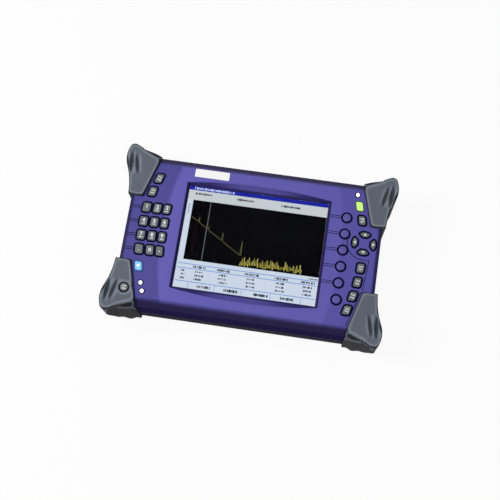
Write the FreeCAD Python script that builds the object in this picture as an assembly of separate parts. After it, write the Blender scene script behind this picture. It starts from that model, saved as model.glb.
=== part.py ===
import FreeCAD, Part

import math
import os

# Handheld optical time domain reflectometer, lying on its back with the screen up.
# Millimetres. +X is the user's right, +Y the top edge (the connector side), +Z out of the screen.
# The origin is the middle of the footprint, on the surface that the rubber corners stand on.

V = FreeCAD.Vector

# ---- Driving dimensions -------------------------------------------------------------------------

BODY_WIDTH = 236.0        # housings, without the rubber corners
BODY_HEIGHT = 144.4
BODY_CORNER_R = 16.0
FACE_Z = 57.0             # flat middle of the front face
SEAM_Z = 25.0             # gasket line between the two housings
REAR_Z = 3.0              # back of the rear housing
WALL = 2.5
CEILING_Z = 53.0          # inside of the front face
GASKET_T = 0.8

LONG_EDGE_RUN = 7.6       # slope along the top and bottom edges of the face
LONG_EDGE_DROP = 7.0
SIDE_EDGE_RUN = 2.8       # slope along the left and right edges
SIDE_EDGE_DROP = 4.0
REAR_EDGE_RUN = 3.4
REAR_EDGE_DROP = 4.6

CROWN_R = 245.0           # arc where the flat middle ends and the falling side zone begins
CROWN_REACH = 83.0        # where that arc crosses the middle line
CROWN_FALL_DEG = 4.0

SCREEN_X = 0.5            # centre of the display
SCREEN_Y = -0.7
PICTURE_W = 130.56        # 6.4 inch, 640 x 480 dots
PICTURE_H = 97.92
RECESS_DEPTH = 2.6
LIP_T = 0.4
WINDOW_T = 0.8

KEY_TRAVEL = 1.0
KEY_GAP = 0.3             # cap to housing
KEY_PROUD = 0.9
KEY_EDGE = 0.35           # bevel round the top of a cap
KEY_CORNER = 0.9          # clipped off each corner
ROUND_SIDES = 16          # flats of the small round caps and their holes
FLANGE_T = 1.0
FLANGE_LAP = 0.6
FLANGE_GAP = 0.25
PLUNGER_W = 2.4
DOME_GAP = 0.3            # plunger to board with the key pressed home
BOARD_Z = 45.6            # top of the key boards

BUMPER_TOP_Z = 60.0
BUMPER_INNER_Z = 57.9     # rubber thickness over the face starts here and rises outwards
BUMPER_END_Y = 31.0       # where a corner ends on the side wall
BUMPER_END_X = 96.4       # where it ends on the top and bottom walls
BUMPER_LIP_X = 106.7      # its slanted edge on the face runs from here ...
BUMPER_LIP_Y = 67.6       # ... to (BUMPER_END_X, BUMPER_LIP_Y)
BUMPER_FIT = 0.05

BAY_DEPTH = 11.0          # pockets in the top wall that hold the connectors
BAY_Z = 38.0
BAY_H = 19.0
COVER_T = 2.0
COVER_GAP = 0.3
HINGE_R = 1.5
PIN_R = 0.75
RUNNING_FIT = 0.05

STAND_W = 130.0
STAND_L = 46.0
STAND_T = 3.4
STAND_AXIS_Y = 54.0
STAND_AXIS_Z = 5.4
STAND_BARREL_R = 2.2
STAND_PIN_R = 1.25
TROUGH_DEPTH = 5.2

HALF_W = BODY_WIDTH / 2
HALF_H = BODY_HEIGHT / 2
CROWN_CENTRE = CROWN_R - CROWN_REACH
CROWN_FALL = math.tan(math.radians(CROWN_FALL_DEG))
WINDOW_TOP = FACE_Z - RECESS_DEPTH - LIP_T
WINDOW_LOW = WINDOW_TOP - WINDOW_T


# ---- Shape helpers ------------------------------------------------------------------------------

def box(x0, x1, y0, y1, z0, z1):
    return Part.makeBox(x1 - x0, y1 - y0, z1 - z0, V(x0, y0, z0))


def centred_box(x, y, width, height, z0, z1):
    return box(x - width / 2, x + width / 2, y - height / 2, y + height / 2, z0, z1)


def cylinder(x, y, radius, z0, z1):
    return Part.makeCylinder(radius, z1 - z0, V(x, y, z0))


def cylinder_x(y, z, radius, x0, x1):
    return Part.makeCylinder(radius, x1 - x0, V(x0, y, z), V(1, 0, 0))


def rounded_wire(corners, radius):
    """Closed wire through 3-D corners, each corner taken off by a tangent arc of the radius."""
    edges = []
    stretches = []
    count = len(corners)
    for i in range(count):
        here = corners[i]
        back = (corners[i - 1] - here).normalize()
        ahead = (corners[(i + 1) % count] - here).normalize()
        half = back.getAngle(ahead) / 2
        reach = radius / math.tan(half)
        middle = (back + ahead).normalize()
        start = here + back * reach
        finish = here + ahead * reach
        crown = here + middle * (radius / math.sin(half) - radius)
        stretches.append((start, crown, finish))
    for i in range(count):
        start, crown, finish = stretches[i]
        edges.append(Part.Arc(start, crown, finish).toShape())
        edges.append(Part.LineSegment(finish, stretches[(i + 1) % count][0]).toShape())
    return Part.Wire(edges)


def clipped_wire(corners, clip):
    """Closed wire through 3-D corners, each corner cut off straight at the clip distance."""
    points = []
    count = len(corners)
    for i in range(count):
        here = corners[i]
        points.append(here + (corners[i - 1] - here).normalize() * clip)
        points.append(here + (corners[(i + 1) % count] - here).normalize() * clip)
    return Part.makePolygon(points + points[:1])


def prism(wire, z_high):
    """Solid from a flat wire up to z_high."""
    face = Part.Face(wire)
    return face.extrude(V(0, 0, z_high - wire.BoundBox.ZMin))


def rectangle(x, y, width, height, z):
    return [V(x + sx * width / 2, y + sy * height / 2, z)
            for sx, sy in ((-1, -1), (1, -1), (1, 1), (-1, 1))]


def rounded_prism(x, y, width, height, radius, z0, z1):
    return prism(rounded_wire(rectangle(x, y, width, height, z0), radius), z1)


def clipped_prism(x, y, width, height, clip, z0, z1):
    return prism(clipped_wire(rectangle(x, y, width, height, z0), clip), z1)


def faceted_wire(x, y, radius, z, sides):
    turns = [2 * math.pi * (i + 0.5) / sides for i in range(sides)]
    corners = [V(x + radius * math.cos(a), y + radius * math.sin(a), z) for a in turns]
    return Part.makePolygon(corners + corners[:1])


def faceted(x, y, radius, z0, z1, sides=8):
    """Upright prism with flat sides, for small rounds where a true cylinder would only add facets."""
    return prism(faceted_wire(x, y, radius, z0, sides), z1)


def faceted_x(y, z, radius, x0, x1, sides=12):
    bar = faceted(0, 0, radius, 0, x1 - x0, sides)
    bar.rotate(V(0, 0, 0), V(0, 1, 0), 90)
    bar.translate(V(x0, y, z))
    return bar


def faceted_y(x, z, radius, y0, y1, sides=ROUND_SIDES):
    bar = faceted(0, 0, radius, 0, y1 - y0, sides)
    bar.rotate(V(0, 0, 0), V(1, 0, 0), -90)
    bar.translate(V(x, y0, z))
    return bar


def bore_radius(radius, sides=12):
    """Corner radius of a flat-sided bore whose flats clear a pin of this radius by the fit."""
    return (radius + RUNNING_FIT) / math.cos(math.pi / sides)


def fuse(*shapes):
    return shapes[0].multiFuse(list(shapes[1:])).removeSplitter()


def cut(shape, *tools):
    return shape.cut(Part.makeCompound(list(tools)))


def mirrored(shape, flip_x, flip_y):
    if flip_x:
        shape = shape.mirror(V(0, 0, 0), V(1, 0, 0))
    if flip_y:
        shape = shape.mirror(V(0, 0, 0), V(0, 1, 0))
    return shape


def face_height(x, y):
    """Height of the front face: flat in the middle, falling as a cone outside the crown arc."""
    beyond = math.hypot(abs(x) + CROWN_CENTRE, y) - CROWN_R
    return FACE_Z - max(0.0, beyond) * CROWN_FALL


# ---- Housing forms ------------------------------------------------------------------------------

def edge_sections(half_w, half_h, z_flat, z_far, runs, drops):
    """Common of two long prisms that give the box its sloped edges between z_flat and z_far."""
    side_run, long_run = runs
    side_drop, long_drop = drops
    toward = 1 if z_far > z_flat else -1
    across = [V(0, -half_h, z_far), V(0, -half_h, z_flat + toward * long_drop),
              V(0, -half_h + long_run, z_flat), V(0, half_h - long_run, z_flat),
              V(0, half_h, z_flat + toward * long_drop), V(0, half_h, z_far)]
    along = [V(-half_w, 0, z_far), V(-half_w, 0, z_flat + toward * side_drop),
             V(-half_w + side_run, 0, z_flat), V(half_w - side_run, 0, z_flat),
             V(half_w, 0, z_flat + toward * side_drop), V(half_w, 0, z_far)]
    first = Part.Face(Part.makePolygon(across + across[:1])).extrude(V(2 * half_w, 0, 0))
    first.translate(V(-half_w, 0, 0))
    second = Part.Face(Part.makePolygon(along + along[:1])).extrude(V(0, 2 * half_h, 0))
    second.translate(V(0, -half_h, 0))
    return first.common(second)


def front_form(inset, z_low):
    """Outer form of the front housing, drawn in by inset."""
    half_w = HALF_W - inset
    half_h = HALF_H - inset
    top = FACE_Z - inset
    form = rounded_prism(0, 0, 2 * half_w, 2 * half_h, BODY_CORNER_R - inset, z_low, top)
    form = form.common(edge_sections(half_w, half_h, top, z_low,
                                     (SIDE_EDGE_RUN, LONG_EDGE_RUN),
                                     (SIDE_EDGE_DROP, LONG_EDGE_DROP)))
    for side in (-1, 1):
        depth = top - z_low
        crown = Part.makeCone(CROWN_R + depth / CROWN_FALL, CROWN_R, depth)
        crown.rotate(V(0, 0, 0), V(0, 0, 1), 90 + 90 * side)
        crown.translate(V(-side * CROWN_CENTRE, 0, z_low))
        form = form.common(crown)
    return form


def front_hollow(z_low):
    """Room inside the front housing: flat ceiling, and slopes that follow the long edges."""
    half_w = HALF_W - WALL
    half_h = HALF_H - WALL
    room = rounded_prism(0, 0, 2 * half_w, 2 * half_h, BODY_CORNER_R - WALL, z_low, CEILING_Z)
    return room.common(edge_sections(half_w, half_h, CEILING_Z, z_low, (1.0, 3.6), (1.0, 4.0)))


def rear_form(inset, z_high):
    half_w = HALF_W - inset
    half_h = HALF_H - inset
    low = REAR_Z + inset
    form = rounded_prism(0, 0, 2 * half_w, 2 * half_h, BODY_CORNER_R - inset, low, z_high)
    return form.common(edge_sections(half_w, half_h, low, z_high,
                                     (REAR_EDGE_RUN, REAR_EDGE_RUN),
                                     (REAR_EDGE_DROP, REAR_EDGE_DROP)))


# ---- Keys ---------------------------------------------------------------------------------------

def slanted_outline(x, y, width, height, lean):
    """Corners of a four-sided key whose sides lean: lean is the sideways step for each mm up."""
    corners = []
    for sx, sy in ((-1, -1), (1, -1), (1, 1), (-1, 1)):
        corners.append((x + sx * width / 2 + lean * sy * height / 2, y + sy * height / 2))
    return corners


def grown_slanted(x, y, width, height, lean, step):
    stretch = 2 * step * math.hypot(1, lean)
    return slanted_outline(x, y, width + stretch, height + 2 * step, lean)


def slanted_wire(key, step, z):
    x, y, width, height, lean = key
    corners = [V(px, py, z) for px, py in grown_slanted(x, y, width, height, lean, step)]
    return clipped_wire(corners, KEY_CORNER + 0.4 * step)


def round_wire(key, step, z):
    x, y, radius = key
    return faceted_wire(x, y, radius + step, z, ROUND_SIDES)


ARROW_PAD_X = 102.8
ARROW_PAD_Y = 14.5
ARROW_OUT_R = 10.6        # outer arc of a cap
ARROW_HALF = 4.5          # tip to middle line
ARROW_IN = 6.5            # flat inner side
ARROW_IN_HALF = 2.2
ARROW_TIP = 8.9


def arrow_wire(quarter, step, z):
    """Almond cap of the arrow pad: an outer arc between two tips, and a three-sided inner edge."""
    tip = V(ARROW_HALF + step, ARROW_TIP, 0)
    flat = V(ARROW_IN_HALF + 0.4 * step, ARROW_IN - step, 0)
    crown = V(0, ARROW_OUT_R + step, 0)
    left_tip = V(-tip.x, tip.y, 0)
    left_flat = V(-flat.x, flat.y, 0)
    edges = [Part.Arc(tip, crown, left_tip).toShape(),
             Part.LineSegment(left_tip, left_flat).toShape(),
             Part.LineSegment(left_flat, flat).toShape(),
             Part.LineSegment(flat, tip).toShape()]
    wire = Part.Wire(edges)
    wire.rotate(V(0, 0, 0), V(0, 0, 1), 90 * quarter)
    wire.translate(V(ARROW_PAD_X, ARROW_PAD_Y, z))
    return wire


NUMBER_ROWS_Y = (20.8, 7.1, -6.3, -19.8)
NUMBER_COLUMNS_X = (-101.7, -91.5, -81.9)
NUMBER_LEANS = (0.09, 0.02, -0.02, -0.09)
NUMBER_NAMES = ("1", "2", "3", "4", "5", "6", "7", "8", "9", "point", "0", "sign")
NUMBER_W = (7.0, 6.7, 6.1)
NUMBER_H = 8.5

SOFT_KEY_X = 84.2
SOFT_KEY_TOP_Y = 36.5
SOFT_KEY_PITCH = 15.58
SOFT_KEY_R = 3.7

POWER_X = -107.7
POWER_Y = -57.9
POWER_R = 3.6


def key_table():
    """Every key: node name, outline function and the outline's sizes."""
    keys = []
    for i, name in enumerate(NUMBER_NAMES):
        row = i // 3
        column = i % 3
        shift = 0.5 if row in (0, 3) and column < 2 else 0.0
        place = (NUMBER_COLUMNS_X[column] + shift, NUMBER_ROWS_Y[row],
                 NUMBER_W[column], NUMBER_H, NUMBER_LEANS[row])
        keys.append(("key_" + name, slanted_wire, place))
    slanted = {
        "upper_function_key": (-94.4, 50.2, 6.4, 8.4, 0.27),
        "lower_function_key": (-98.4, 36.7, 6.4, 8.4, 0.18),
        "back_light_key": (-98.8, -35.9, 6.2, 8.0, -0.19),
        "start_key": (94.7, 49.4, 6.0, 8.2, -0.22),
        "menu_key": (98.5, 36.1, 5.9, 8.0, -0.19),
        "side_key_1": (102.4, -9.0, 6.2, 8.2, 0.06),
        "side_key_2": (101.0, -22.6, 6.2, 8.2, 0.13),
        "side_key_3": (98.4, -36.0, 6.0, 8.2, 0.23),
        "side_key_4": (94.7, -49.5, 6.2, 8.2, 0.25),
    }
    for name, place in slanted.items():
        keys.append((name, slanted_wire, place))
    for i in range(6):
        place = (SOFT_KEY_X, SOFT_KEY_TOP_Y - i * SOFT_KEY_PITCH, SOFT_KEY_R)
        keys.append((f"soft_key_{i + 1}", round_wire, place))
    for quarter, name in enumerate(("up", "left", "down", "right")):
        keys.append(("arrow_" + name, arrow_wire, quarter))
    keys.append(("power_button", round_wire, (POWER_X, POWER_Y, POWER_R)))
    return keys


def key_cap(name, outline, place):
    """Cap through the face, retaining flange below the housing wall, and a plunger to its switch."""
    flange_top = CEILING_Z - FLANGE_GAP
    flange_low = flange_top - FLANGE_T
    rim = outline(place, 0.0, 0.0).BoundBox
    x, y = rim.Center.x, rim.Center.y
    top = face_height(x, y) + KEY_PROUD
    if name == "power_button":
        top = BUMPER_INNER_Z + 1.2
    cap = prism(outline(place, 0.0, flange_low + 0.3), top)
    if outline is slanted_wire:
        rim_edges = [edge for edge in cap.Edges if edge.BoundBox.ZMin > top - 0.01]
        cap = cap.makeChamfer(KEY_EDGE, rim_edges)
    flange = centred_box(x, y, rim.XLength + 2 * FLANGE_LAP, rim.YLength + 2 * FLANGE_LAP,
                         flange_low, flange_top)
    plunger = centred_box(x, y, PLUNGER_W, PLUNGER_W, BOARD_Z + DOME_GAP + KEY_TRAVEL, flange_low + 0.2)
    return fuse(cap, flange, plunger)


# ---- Front housing ------------------------------------------------------------------------------

def screen_recess():
    """Sunk surround of the display: ruled sides from an arched outline down to the picture's edge."""
    def outline(half_w, half_h, rise, z):
        left = SCREEN_X - half_w
        right = SCREEN_X + half_w
        high = SCREEN_Y + half_h
        low = SCREEN_Y - half_h
        edges = [Part.LineSegment(V(left, high, z), V(left, low, z)).toShape(),
                 Part.Arc(V(left, low, z), V(SCREEN_X, low - rise, z), V(right, low, z)).toShape(),
                 Part.LineSegment(V(right, low, z), V(right, high, z)).toShape(),
                 Part.Arc(V(right, high, z), V(SCREEN_X, high + rise, z), V(left, high, z)).toShape()]
        return Part.Wire(edges)

    upper = outline(67.3, 51.6, 6.0, FACE_Z + 0.2)
    lower = outline(PICTURE_W / 2 + 0.3, PICTURE_H / 2 + 0.3, 0.05, FACE_Z - RECESS_DEPTH)
    dish = Part.makeLoft([upper, lower], True, True)
    through = centred_box(SCREEN_X, SCREEN_Y, PICTURE_W + 0.6, PICTURE_H + 0.6, 40, FACE_Z - 1)
    return dish, through


SCREEN_BOSS_W = 143.0
SCREEN_BOSS_H = 118.0
SCREEN_BOSS_Z = 50.6
WINDOW_W = 138.0
WINDOW_H = 104.0

SCREW_PLACES = [(-84, -64), (0, -64), (84, -64), (-84, 64), (0, 64), (84, 64)]
BOARD_POSTS = [(-106, -44), (106, -44), (-106, 45), (106, 45)]
BRACKET_POSTS = [(-66, -61), (66, -61), (-66, 61), (66, 61)]
LIGHT_PLACES = [(-93.9, -51.1), (-91.3, -58.6), (91.5, 60.2)]
LIGHT_R = 1.95
BOARD_LOW_Z = 27.0        # underside of the main board

OPTICAL_BAY_X = -40.0
OPTICAL_BAY_W = 34.0
DATA_BAY_X = 35.0
DATA_BAY_W = 44.0
DC_JACK_X = 76.0

GROOVE_W = 0.7
GROOVE_DEPTH = 0.45


PANEL_LOW_X = -61.0       # connector panel, set into a notch of the front housing's top wall
PANEL_HIGH_X = 84.0
PANEL_HIGH_Z = 48.2
PANEL_FIT = 0.1
PANEL_WALL = 1.5          # walls of its pockets
PANEL_LIP = 1.2           # how far its ends reach behind the wall
PANEL_LIP_T = 0.9


def bay(x, width):
    """Room of a connector pocket in the panel."""
    return box(x - width / 2, x + width / 2, HALF_H - BAY_DEPTH, HALF_H + 1,
               BAY_Z - BAY_H / 2, BAY_Z + BAY_H / 2)


def bay_walls(x, width):
    """Block behind the wall that a pocket is cut out of."""
    return box(x - width / 2 - PANEL_WALL, x + width / 2 + PANEL_WALL,
               HALF_H - BAY_DEPTH - PANEL_WALL, HALF_H - WALL,
               BAY_Z - BAY_H / 2 - PANEL_WALL, BAY_Z + BAY_H / 2 + PANEL_WALL)


def connector_panel():
    """Moulded strip in the top wall, with two lidded pockets and the hole of the power inlet."""
    low = SEAM_Z + GASKET_T / 2 + PANEL_FIT
    high = PANEL_HIGH_Z - PANEL_FIT
    back = HALF_H - WALL
    strip = box(PANEL_LOW_X + PANEL_FIT, PANEL_HIGH_X - PANEL_FIT, back - 0.1, HALF_H, low, high)
    lip = box(PANEL_LOW_X - PANEL_LIP, PANEL_HIGH_X + PANEL_LIP, back - PANEL_LIP_T, back, low, high)
    walls = [bay_walls(OPTICAL_BAY_X, OPTICAL_BAY_W), bay_walls(DATA_BAY_X, DATA_BAY_W)]
    tools = [bay(OPTICAL_BAY_X, OPTICAL_BAY_W), bay(DATA_BAY_X, DATA_BAY_W)]
    tools.append(faceted_y(DC_JACK_X, BAY_Z, 4.1, HALF_H - 8, HALF_H + 1, 20))
    tools.append(faceted_y(OPTICAL_BAY_X, BAY_Z, 4.4, 40, HALF_H - BAY_DEPTH + 1))
    tools.append(centred_box(DATA_BAY_X, HALF_H - BAY_DEPTH, 33.0, 8.0, BAY_Z - 4.6, BAY_Z + 2.6))
    for x, width in ((OPTICAL_BAY_X, OPTICAL_BAY_W), (DATA_BAY_X, DATA_BAY_W)):
        tools.append(faceted_x(hinge_y(), hinge_z(), PIN_R, x - width / 2 - 1.8, x + width / 2 + 1.8))
    return cut(fuse(strip, lip, *walls), *tools)


def groove(x0, y0, x1, y1):
    """Straight engraved line of the face, following its height at the middle of the line."""
    top = min(face_height(x0, y0), face_height(x1, y1))
    length = math.hypot(x1 - x0, y1 - y0)
    tool = box(0, length, -GROOVE_W / 2, GROOVE_W / 2, -GROOVE_DEPTH, 3)
    fall = math.degrees(math.atan2(face_height(x1, y1) - face_height(x0, y0), length))
    tool.rotate(V(0, 0, 0), V(0, 1, 0), -fall)
    tool.rotate(V(0, 0, 0), V(0, 0, 1), math.degrees(math.atan2(y1 - y0, x1 - x0)))
    tool.translate(V(x0, y0, face_height(x0, y0)))
    return tool


def groove_tools():
    """Twin engraved lines: screen to the upper five soft keys, and side edge to each number row."""
    tools = []
    for i in range(5):
        y = SOFT_KEY_TOP_Y - i * SOFT_KEY_PITCH
        for step in (-1.0, 1.0):
            tools.append(groove(SCREEN_X + 68.2, y + step, SOFT_KEY_X - SOFT_KEY_R - 1.6, y + step))
    for y in NUMBER_ROWS_Y:
        for step in (-0.95, 0.95):
            start = -HALF_W + SIDE_EDGE_RUN + 1.0
            tools.append(groove(start, y + step, NUMBER_COLUMNS_X[0] - 5.4, y + step))
    ring = cut(cylinder(ARROW_PAD_X, ARROW_PAD_Y, 15.9, 54.6, 60),
               cylinder(ARROW_PAD_X, ARROW_PAD_Y, 15.2, 54.0, 61))
    sector = box(ARROW_PAD_X - 20, ARROW_PAD_X, ARROW_PAD_Y - 20, ARROW_PAD_Y + 2, 50, 62)
    tools.append(ring.common(sector))
    corner_x = 109.2
    corner_y = ARROW_PAD_Y - 15.55
    tools.append(groove(ARROW_PAD_X + 0.2, corner_y, corner_x, corner_y))
    tools.append(groove(corner_x, corner_y, 106.4, -BUMPER_END_Y + 1.0))
    tools.append(groove(105.2, -BUMPER_END_Y, 95.6, -64.0))
    return tools


def front_housing():
    shell = front_form(0, SEAM_Z + GASKET_T / 2)
    hollow = front_hollow(SEAM_Z + GASKET_T / 2)
    boss = centred_box(SCREEN_X, SCREEN_Y, SCREEN_BOSS_W, SCREEN_BOSS_H, SCREEN_BOSS_Z, FACE_Z)
    blocks = [boss]
    for x, y in SCREW_PLACES:
        blocks.append(faceted(x, y, 3.8, SEAM_Z + 1, FACE_Z))
    for x, y in BOARD_POSTS:
        blocks.append(faceted(x, y, 2.7, BOARD_LOW_Z + 1.8, FACE_Z))
    for x, y in BRACKET_POSTS:
        blocks.append(faceted(x, y, 3.2, 45.4, FACE_Z))
    hollow = cut(hollow, *blocks)
    shell = shell.cut(hollow)

    dish, through = screen_recess()
    tools = [dish, through]
    tools.append(centred_box(SCREEN_X, SCREEN_Y, WINDOW_W + 0.4, WINDOW_H + 0.4, 40, WINDOW_TOP))
    tools.append(box(PANEL_LOW_X, PANEL_HIGH_X, HALF_H - WALL - 1, HALF_H + 1, SEAM_Z, PANEL_HIGH_Z))
    for x, y in SCREW_PLACES:
        tools.append(faceted(x, y, 1.3, SEAM_Z, 40))
    for x, y in LIGHT_PLACES:
        tools.append(faceted(x, y, LIGHT_R + 0.1, 45, 60, 16))
    for name, outline, place in key_table():
        tools.append(prism(outline(place, KEY_GAP, 45), 62))
    tools.extend(groove_tools())
    return cut(shell, *tools)


def hinge_y():
    return HALF_H - HINGE_R


def hinge_z():
    return BAY_Z - BAY_H / 2 + COVER_GAP + HINGE_R


def bay_cover(x, width):
    """Flush lid of a connector pocket with a hinge barrel along its lower edge and a thumb lip."""
    low = hinge_z()
    high = BAY_Z + BAY_H / 2 - COVER_GAP
    half = width / 2 - COVER_GAP
    plate = box(x - half, x + half, HALF_H - COVER_T, HALF_H, low, high)
    barrel = faceted_x(hinge_y(), hinge_z(), HINGE_R, x - half, x + half)
    rib = box(x - half + 2, x + half - 2, HALF_H - COVER_T - 0.8, HALF_H - COVER_T, high - 3, high - 1.6)
    lid = fuse(plate, barrel, rib)
    thumb = cylinder_x(HALF_H + 0.6, high - 0.2, 1.4, x - 6, x + 6)
    bore = faceted_x(hinge_y(), hinge_z(), bore_radius(PIN_R), x - half - 1, x + half + 1)
    return cut(lid, thumb, bore)


def cover_pins():
    pins = []
    for x, width in ((OPTICAL_BAY_X, OPTICAL_BAY_W), (DATA_BAY_X, DATA_BAY_W)):
        pins.append(faceted_x(hinge_y(), hinge_z(), PIN_R, x - width / 2 - 1.8, x + width / 2 + 1.8))
    return Part.makeCompound(pins)


# ---- Rear housing, stand and battery door -------------------------------------------------------

TROUGH_W = STAND_W + 3.0
TROUGH_LOW_Y = 6.5
TROUGH_HIGH_Y = 58.0
NOTCH_W = 26.0
NOTCH_LOW_Y = -1.0
DOOR_W = 112.0
DOOR_H = 50.0
DOOR_Y = -33.0
DOOR_T = 2.0
DOOR_SCREWS = [(-48, DOOR_Y - 20), (48, DOOR_Y - 20)]
SCREW_WELL_R = 3.1
SCREW_WELL_DEPTH = 3.2


def rear_housing():
    seam = SEAM_Z - GASKET_T / 2
    shell = rear_form(0, seam)
    hollow = rear_form(WALL, seam + 1)
    trough_top = REAR_Z + TROUGH_DEPTH
    blocks = [box(-TROUGH_W / 2 - 2, TROUGH_W / 2 + 2, TROUGH_LOW_Y - 2, TROUGH_HIGH_Y + 2,
                  0, trough_top + 2)]
    blocks.append(box(-NOTCH_W / 2 - 2, NOTCH_W / 2 + 2, NOTCH_LOW_Y - 2, TROUGH_LOW_Y, 0, trough_top + 2))
    frame = cut(centred_box(0, DOOR_Y, DOOR_W + 5, DOOR_H + 5, 0, 9.0),
                centred_box(0, DOOR_Y, DOOR_W - 4, DOOR_H - 4, 0, 9.5))
    blocks.append(frame)
    for x, y in SCREW_PLACES:
        blocks.append(faceted(x, y, 3.8, 0, seam + 1))
    for x, y in BOARD_POSTS:
        blocks.append(faceted(x, y, 3.2, 0, seam + 1))
    hollow = cut(hollow, *blocks)
    shell = shell.cut(hollow)
    for x, y in BOARD_POSTS:
        shell = shell.fuse(faceted(x, y, 2.4, seam - 1, BOARD_LOW_Z - 0.1))

    tools = [box(-TROUGH_W / 2, TROUGH_W / 2, TROUGH_LOW_Y, TROUGH_HIGH_Y, 0, trough_top)]
    tools.append(box(-NOTCH_W / 2, NOTCH_W / 2, NOTCH_LOW_Y, TROUGH_LOW_Y + 1, 0, trough_top))
    tools.append(centred_box(0, DOOR_Y, DOOR_W, DOOR_H, 0, REAR_Z + DOOR_T + 0.1))
    tools.append(centred_box(0, DOOR_Y, DOOR_W - 8, DOOR_H - 12, 0, 12))
    for x, y in DOOR_SCREWS:
        tools.append(faceted(x, y, 1.0, 3, 8))
    for x, y in SCREW_PLACES:
        tools.append(faceted(x, y, SCREW_WELL_R, 0, REAR_Z + SCREW_WELL_DEPTH, 16))
        tools.append(faceted(x, y, 1.6, 0, 30))
    for side in (-1, 1):
        tools.append(faceted_x(STAND_AXIS_Y, STAND_AXIS_Z, STAND_PIN_R,
                               side * (TROUGH_W / 2 - 0.7) - 2.2, side * (TROUGH_W / 2 - 0.7) + 2.2))
    return cut(shell, *tools)


def tilt_stand():
    """Flat prop: a ribbed plate with a rounded free edge and a barrel that turns on two pins."""
    low = STAND_AXIS_Z - STAND_T / 2
    high = STAND_AXIS_Z + STAND_T / 2
    half = STAND_W / 2
    free_y = STAND_AXIS_Y - STAND_L
    corners = [V(-half, STAND_AXIS_Y + 3, low), V(-half + 7, free_y, low),
               V(half - 7, free_y, low), V(half, STAND_AXIS_Y + 3, low)]
    plate = prism(clipped_wire(corners, 3.0), high)
    plate = plate.cut(box(-half - 1, half + 1, STAND_AXIS_Y, STAND_AXIS_Y + 9, low - 1, high + 1))
    barrel = faceted_x(STAND_AXIS_Y, STAND_AXIS_Z, STAND_BARREL_R, -half, half, 16)
    body = fuse(plate, barrel)
    pockets = []
    for i in range(-2, 3):
        pockets.append(centred_box(i * 21.0, STAND_AXIS_Y - STAND_L / 2 - 1.0, 18.0, 30.0,
                                   high - 1.6, high + 1))
    bores = [faceted_x(STAND_AXIS_Y, STAND_AXIS_Z, bore_radius(STAND_PIN_R), side * half - 6, side * half + 6)
             for side in (-1, 1)]
    return cut(body, *pockets, *bores)


def stand_pins():
    pins = []
    for side in (-1, 1):
        inner = side * (STAND_W / 2 - 4.5)
        outer = side * (TROUGH_W / 2 + 1.4)
        pins.append(faceted_x(STAND_AXIS_Y, STAND_AXIS_Z, STAND_PIN_R, min(inner, outer), max(inner, outer)))
    return Part.makeCompound(pins)


def battery_door():
    plate = clipped_prism(0, DOOR_Y, DOOR_W - 0.5, DOOR_H - 0.5, 0.8, REAR_Z, REAR_Z + DOOR_T)
    ribs = [centred_box(0, DOOR_Y + 16 - 7 * i, 60, 1.2, REAR_Z - 0.1, REAR_Z + 0.6) for i in range(4)]
    holes = []
    for x, y in DOOR_SCREWS:
        holes.append(faceted(x, y, 2.4, 0, REAR_Z + 1.1, 16))
        holes.append(faceted(x, y, 1.2, 0, 8))
    return cut(plate, *ribs, *holes)


def battery_pack():
    case = clipped_prism(0, DOOR_Y + 0.5, 100, 36, 2.0, REAR_Z + DOOR_T + 0.6, 23.0)
    contacts = [centred_box(-40 + 6 * i, DOOR_Y + 18.7, 3.0, 0.8, 14, 20) for i in range(5)]
    return fuse(case, *contacts)


def shell_gasket():
    low = SEAM_Z - GASKET_T / 2
    high = SEAM_Z + GASKET_T / 2
    outer = rounded_prism(0, 0, BODY_WIDTH - 0.8, BODY_HEIGHT - 0.8, BODY_CORNER_R - 0.4, low, high)
    inner = clipped_prism(0, 0, BODY_WIDTH - 2 * WALL, BODY_HEIGHT - 2 * WALL,
                          BODY_CORNER_R / 2, low - 1, high + 1)
    return outer.cut(inner)


# ---- Rubber corners -----------------------------------------------------------------------------

BUMPER_FLANK_Y = 73.8     # flank at the corner's end, below the bevel
BUMPER_BEVEL = 7.4        # how far the bevel draws the flank in at the top
BUMPER_BEVEL_H = 10.0
BUMPER_BEVEL_L = 18.0     # length of the bevel, up to the root of the ear
BUMPER_BEVEL_TURN = 25.0  # degrees between the bevel and the long wall
BUMPER_FOOT_Y = 76.0      # flank of the ear at the foot; it leans out from there
BUMPER_EAR_Y = 81.0
BUMPER_LEAN_H = 34.0


def bumper_outline():
    """Plan of a corner: curved flank, rounded ear, side with a waist, slanted edge on the face."""
    end = V(BUMPER_END_X, BUMPER_FLANK_Y, 0)
    brow = V(112.5, 76.9, 0)
    ear = V(119.5, 80.1, 0)
    cheek = V(126.9, 77.0, 0)
    hip = V(126.6, 58.5, 0)
    waist = V(121.3, 38.5, 0)
    finish = V(120.7, BUMPER_END_Y, 0)
    corner = V(BUMPER_LIP_X, BUMPER_END_Y, 0)
    turn = V(BUMPER_END_X, BUMPER_LIP_Y, 0)
    edges = [Part.Arc(end, V(103.0, 75.9, 0), brow).toShape(), Part.LineSegment(brow, ear).toShape(),
             Part.Arc(ear, V(123.6, 80.6, 0), cheek).toShape(),
             Part.Arc(cheek, V(128.6, 69.0, 0), hip).toShape(),
             Part.Arc(hip, V(123.3, 49.0, 0), waist).toShape(),
             Part.LineSegment(waist, finish).toShape(),
             Part.LineSegment(finish, corner).toShape(), Part.LineSegment(corner, turn).toShape(),
             Part.LineSegment(turn, end).toShape()]
    return Part.Wire(edges)


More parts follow.
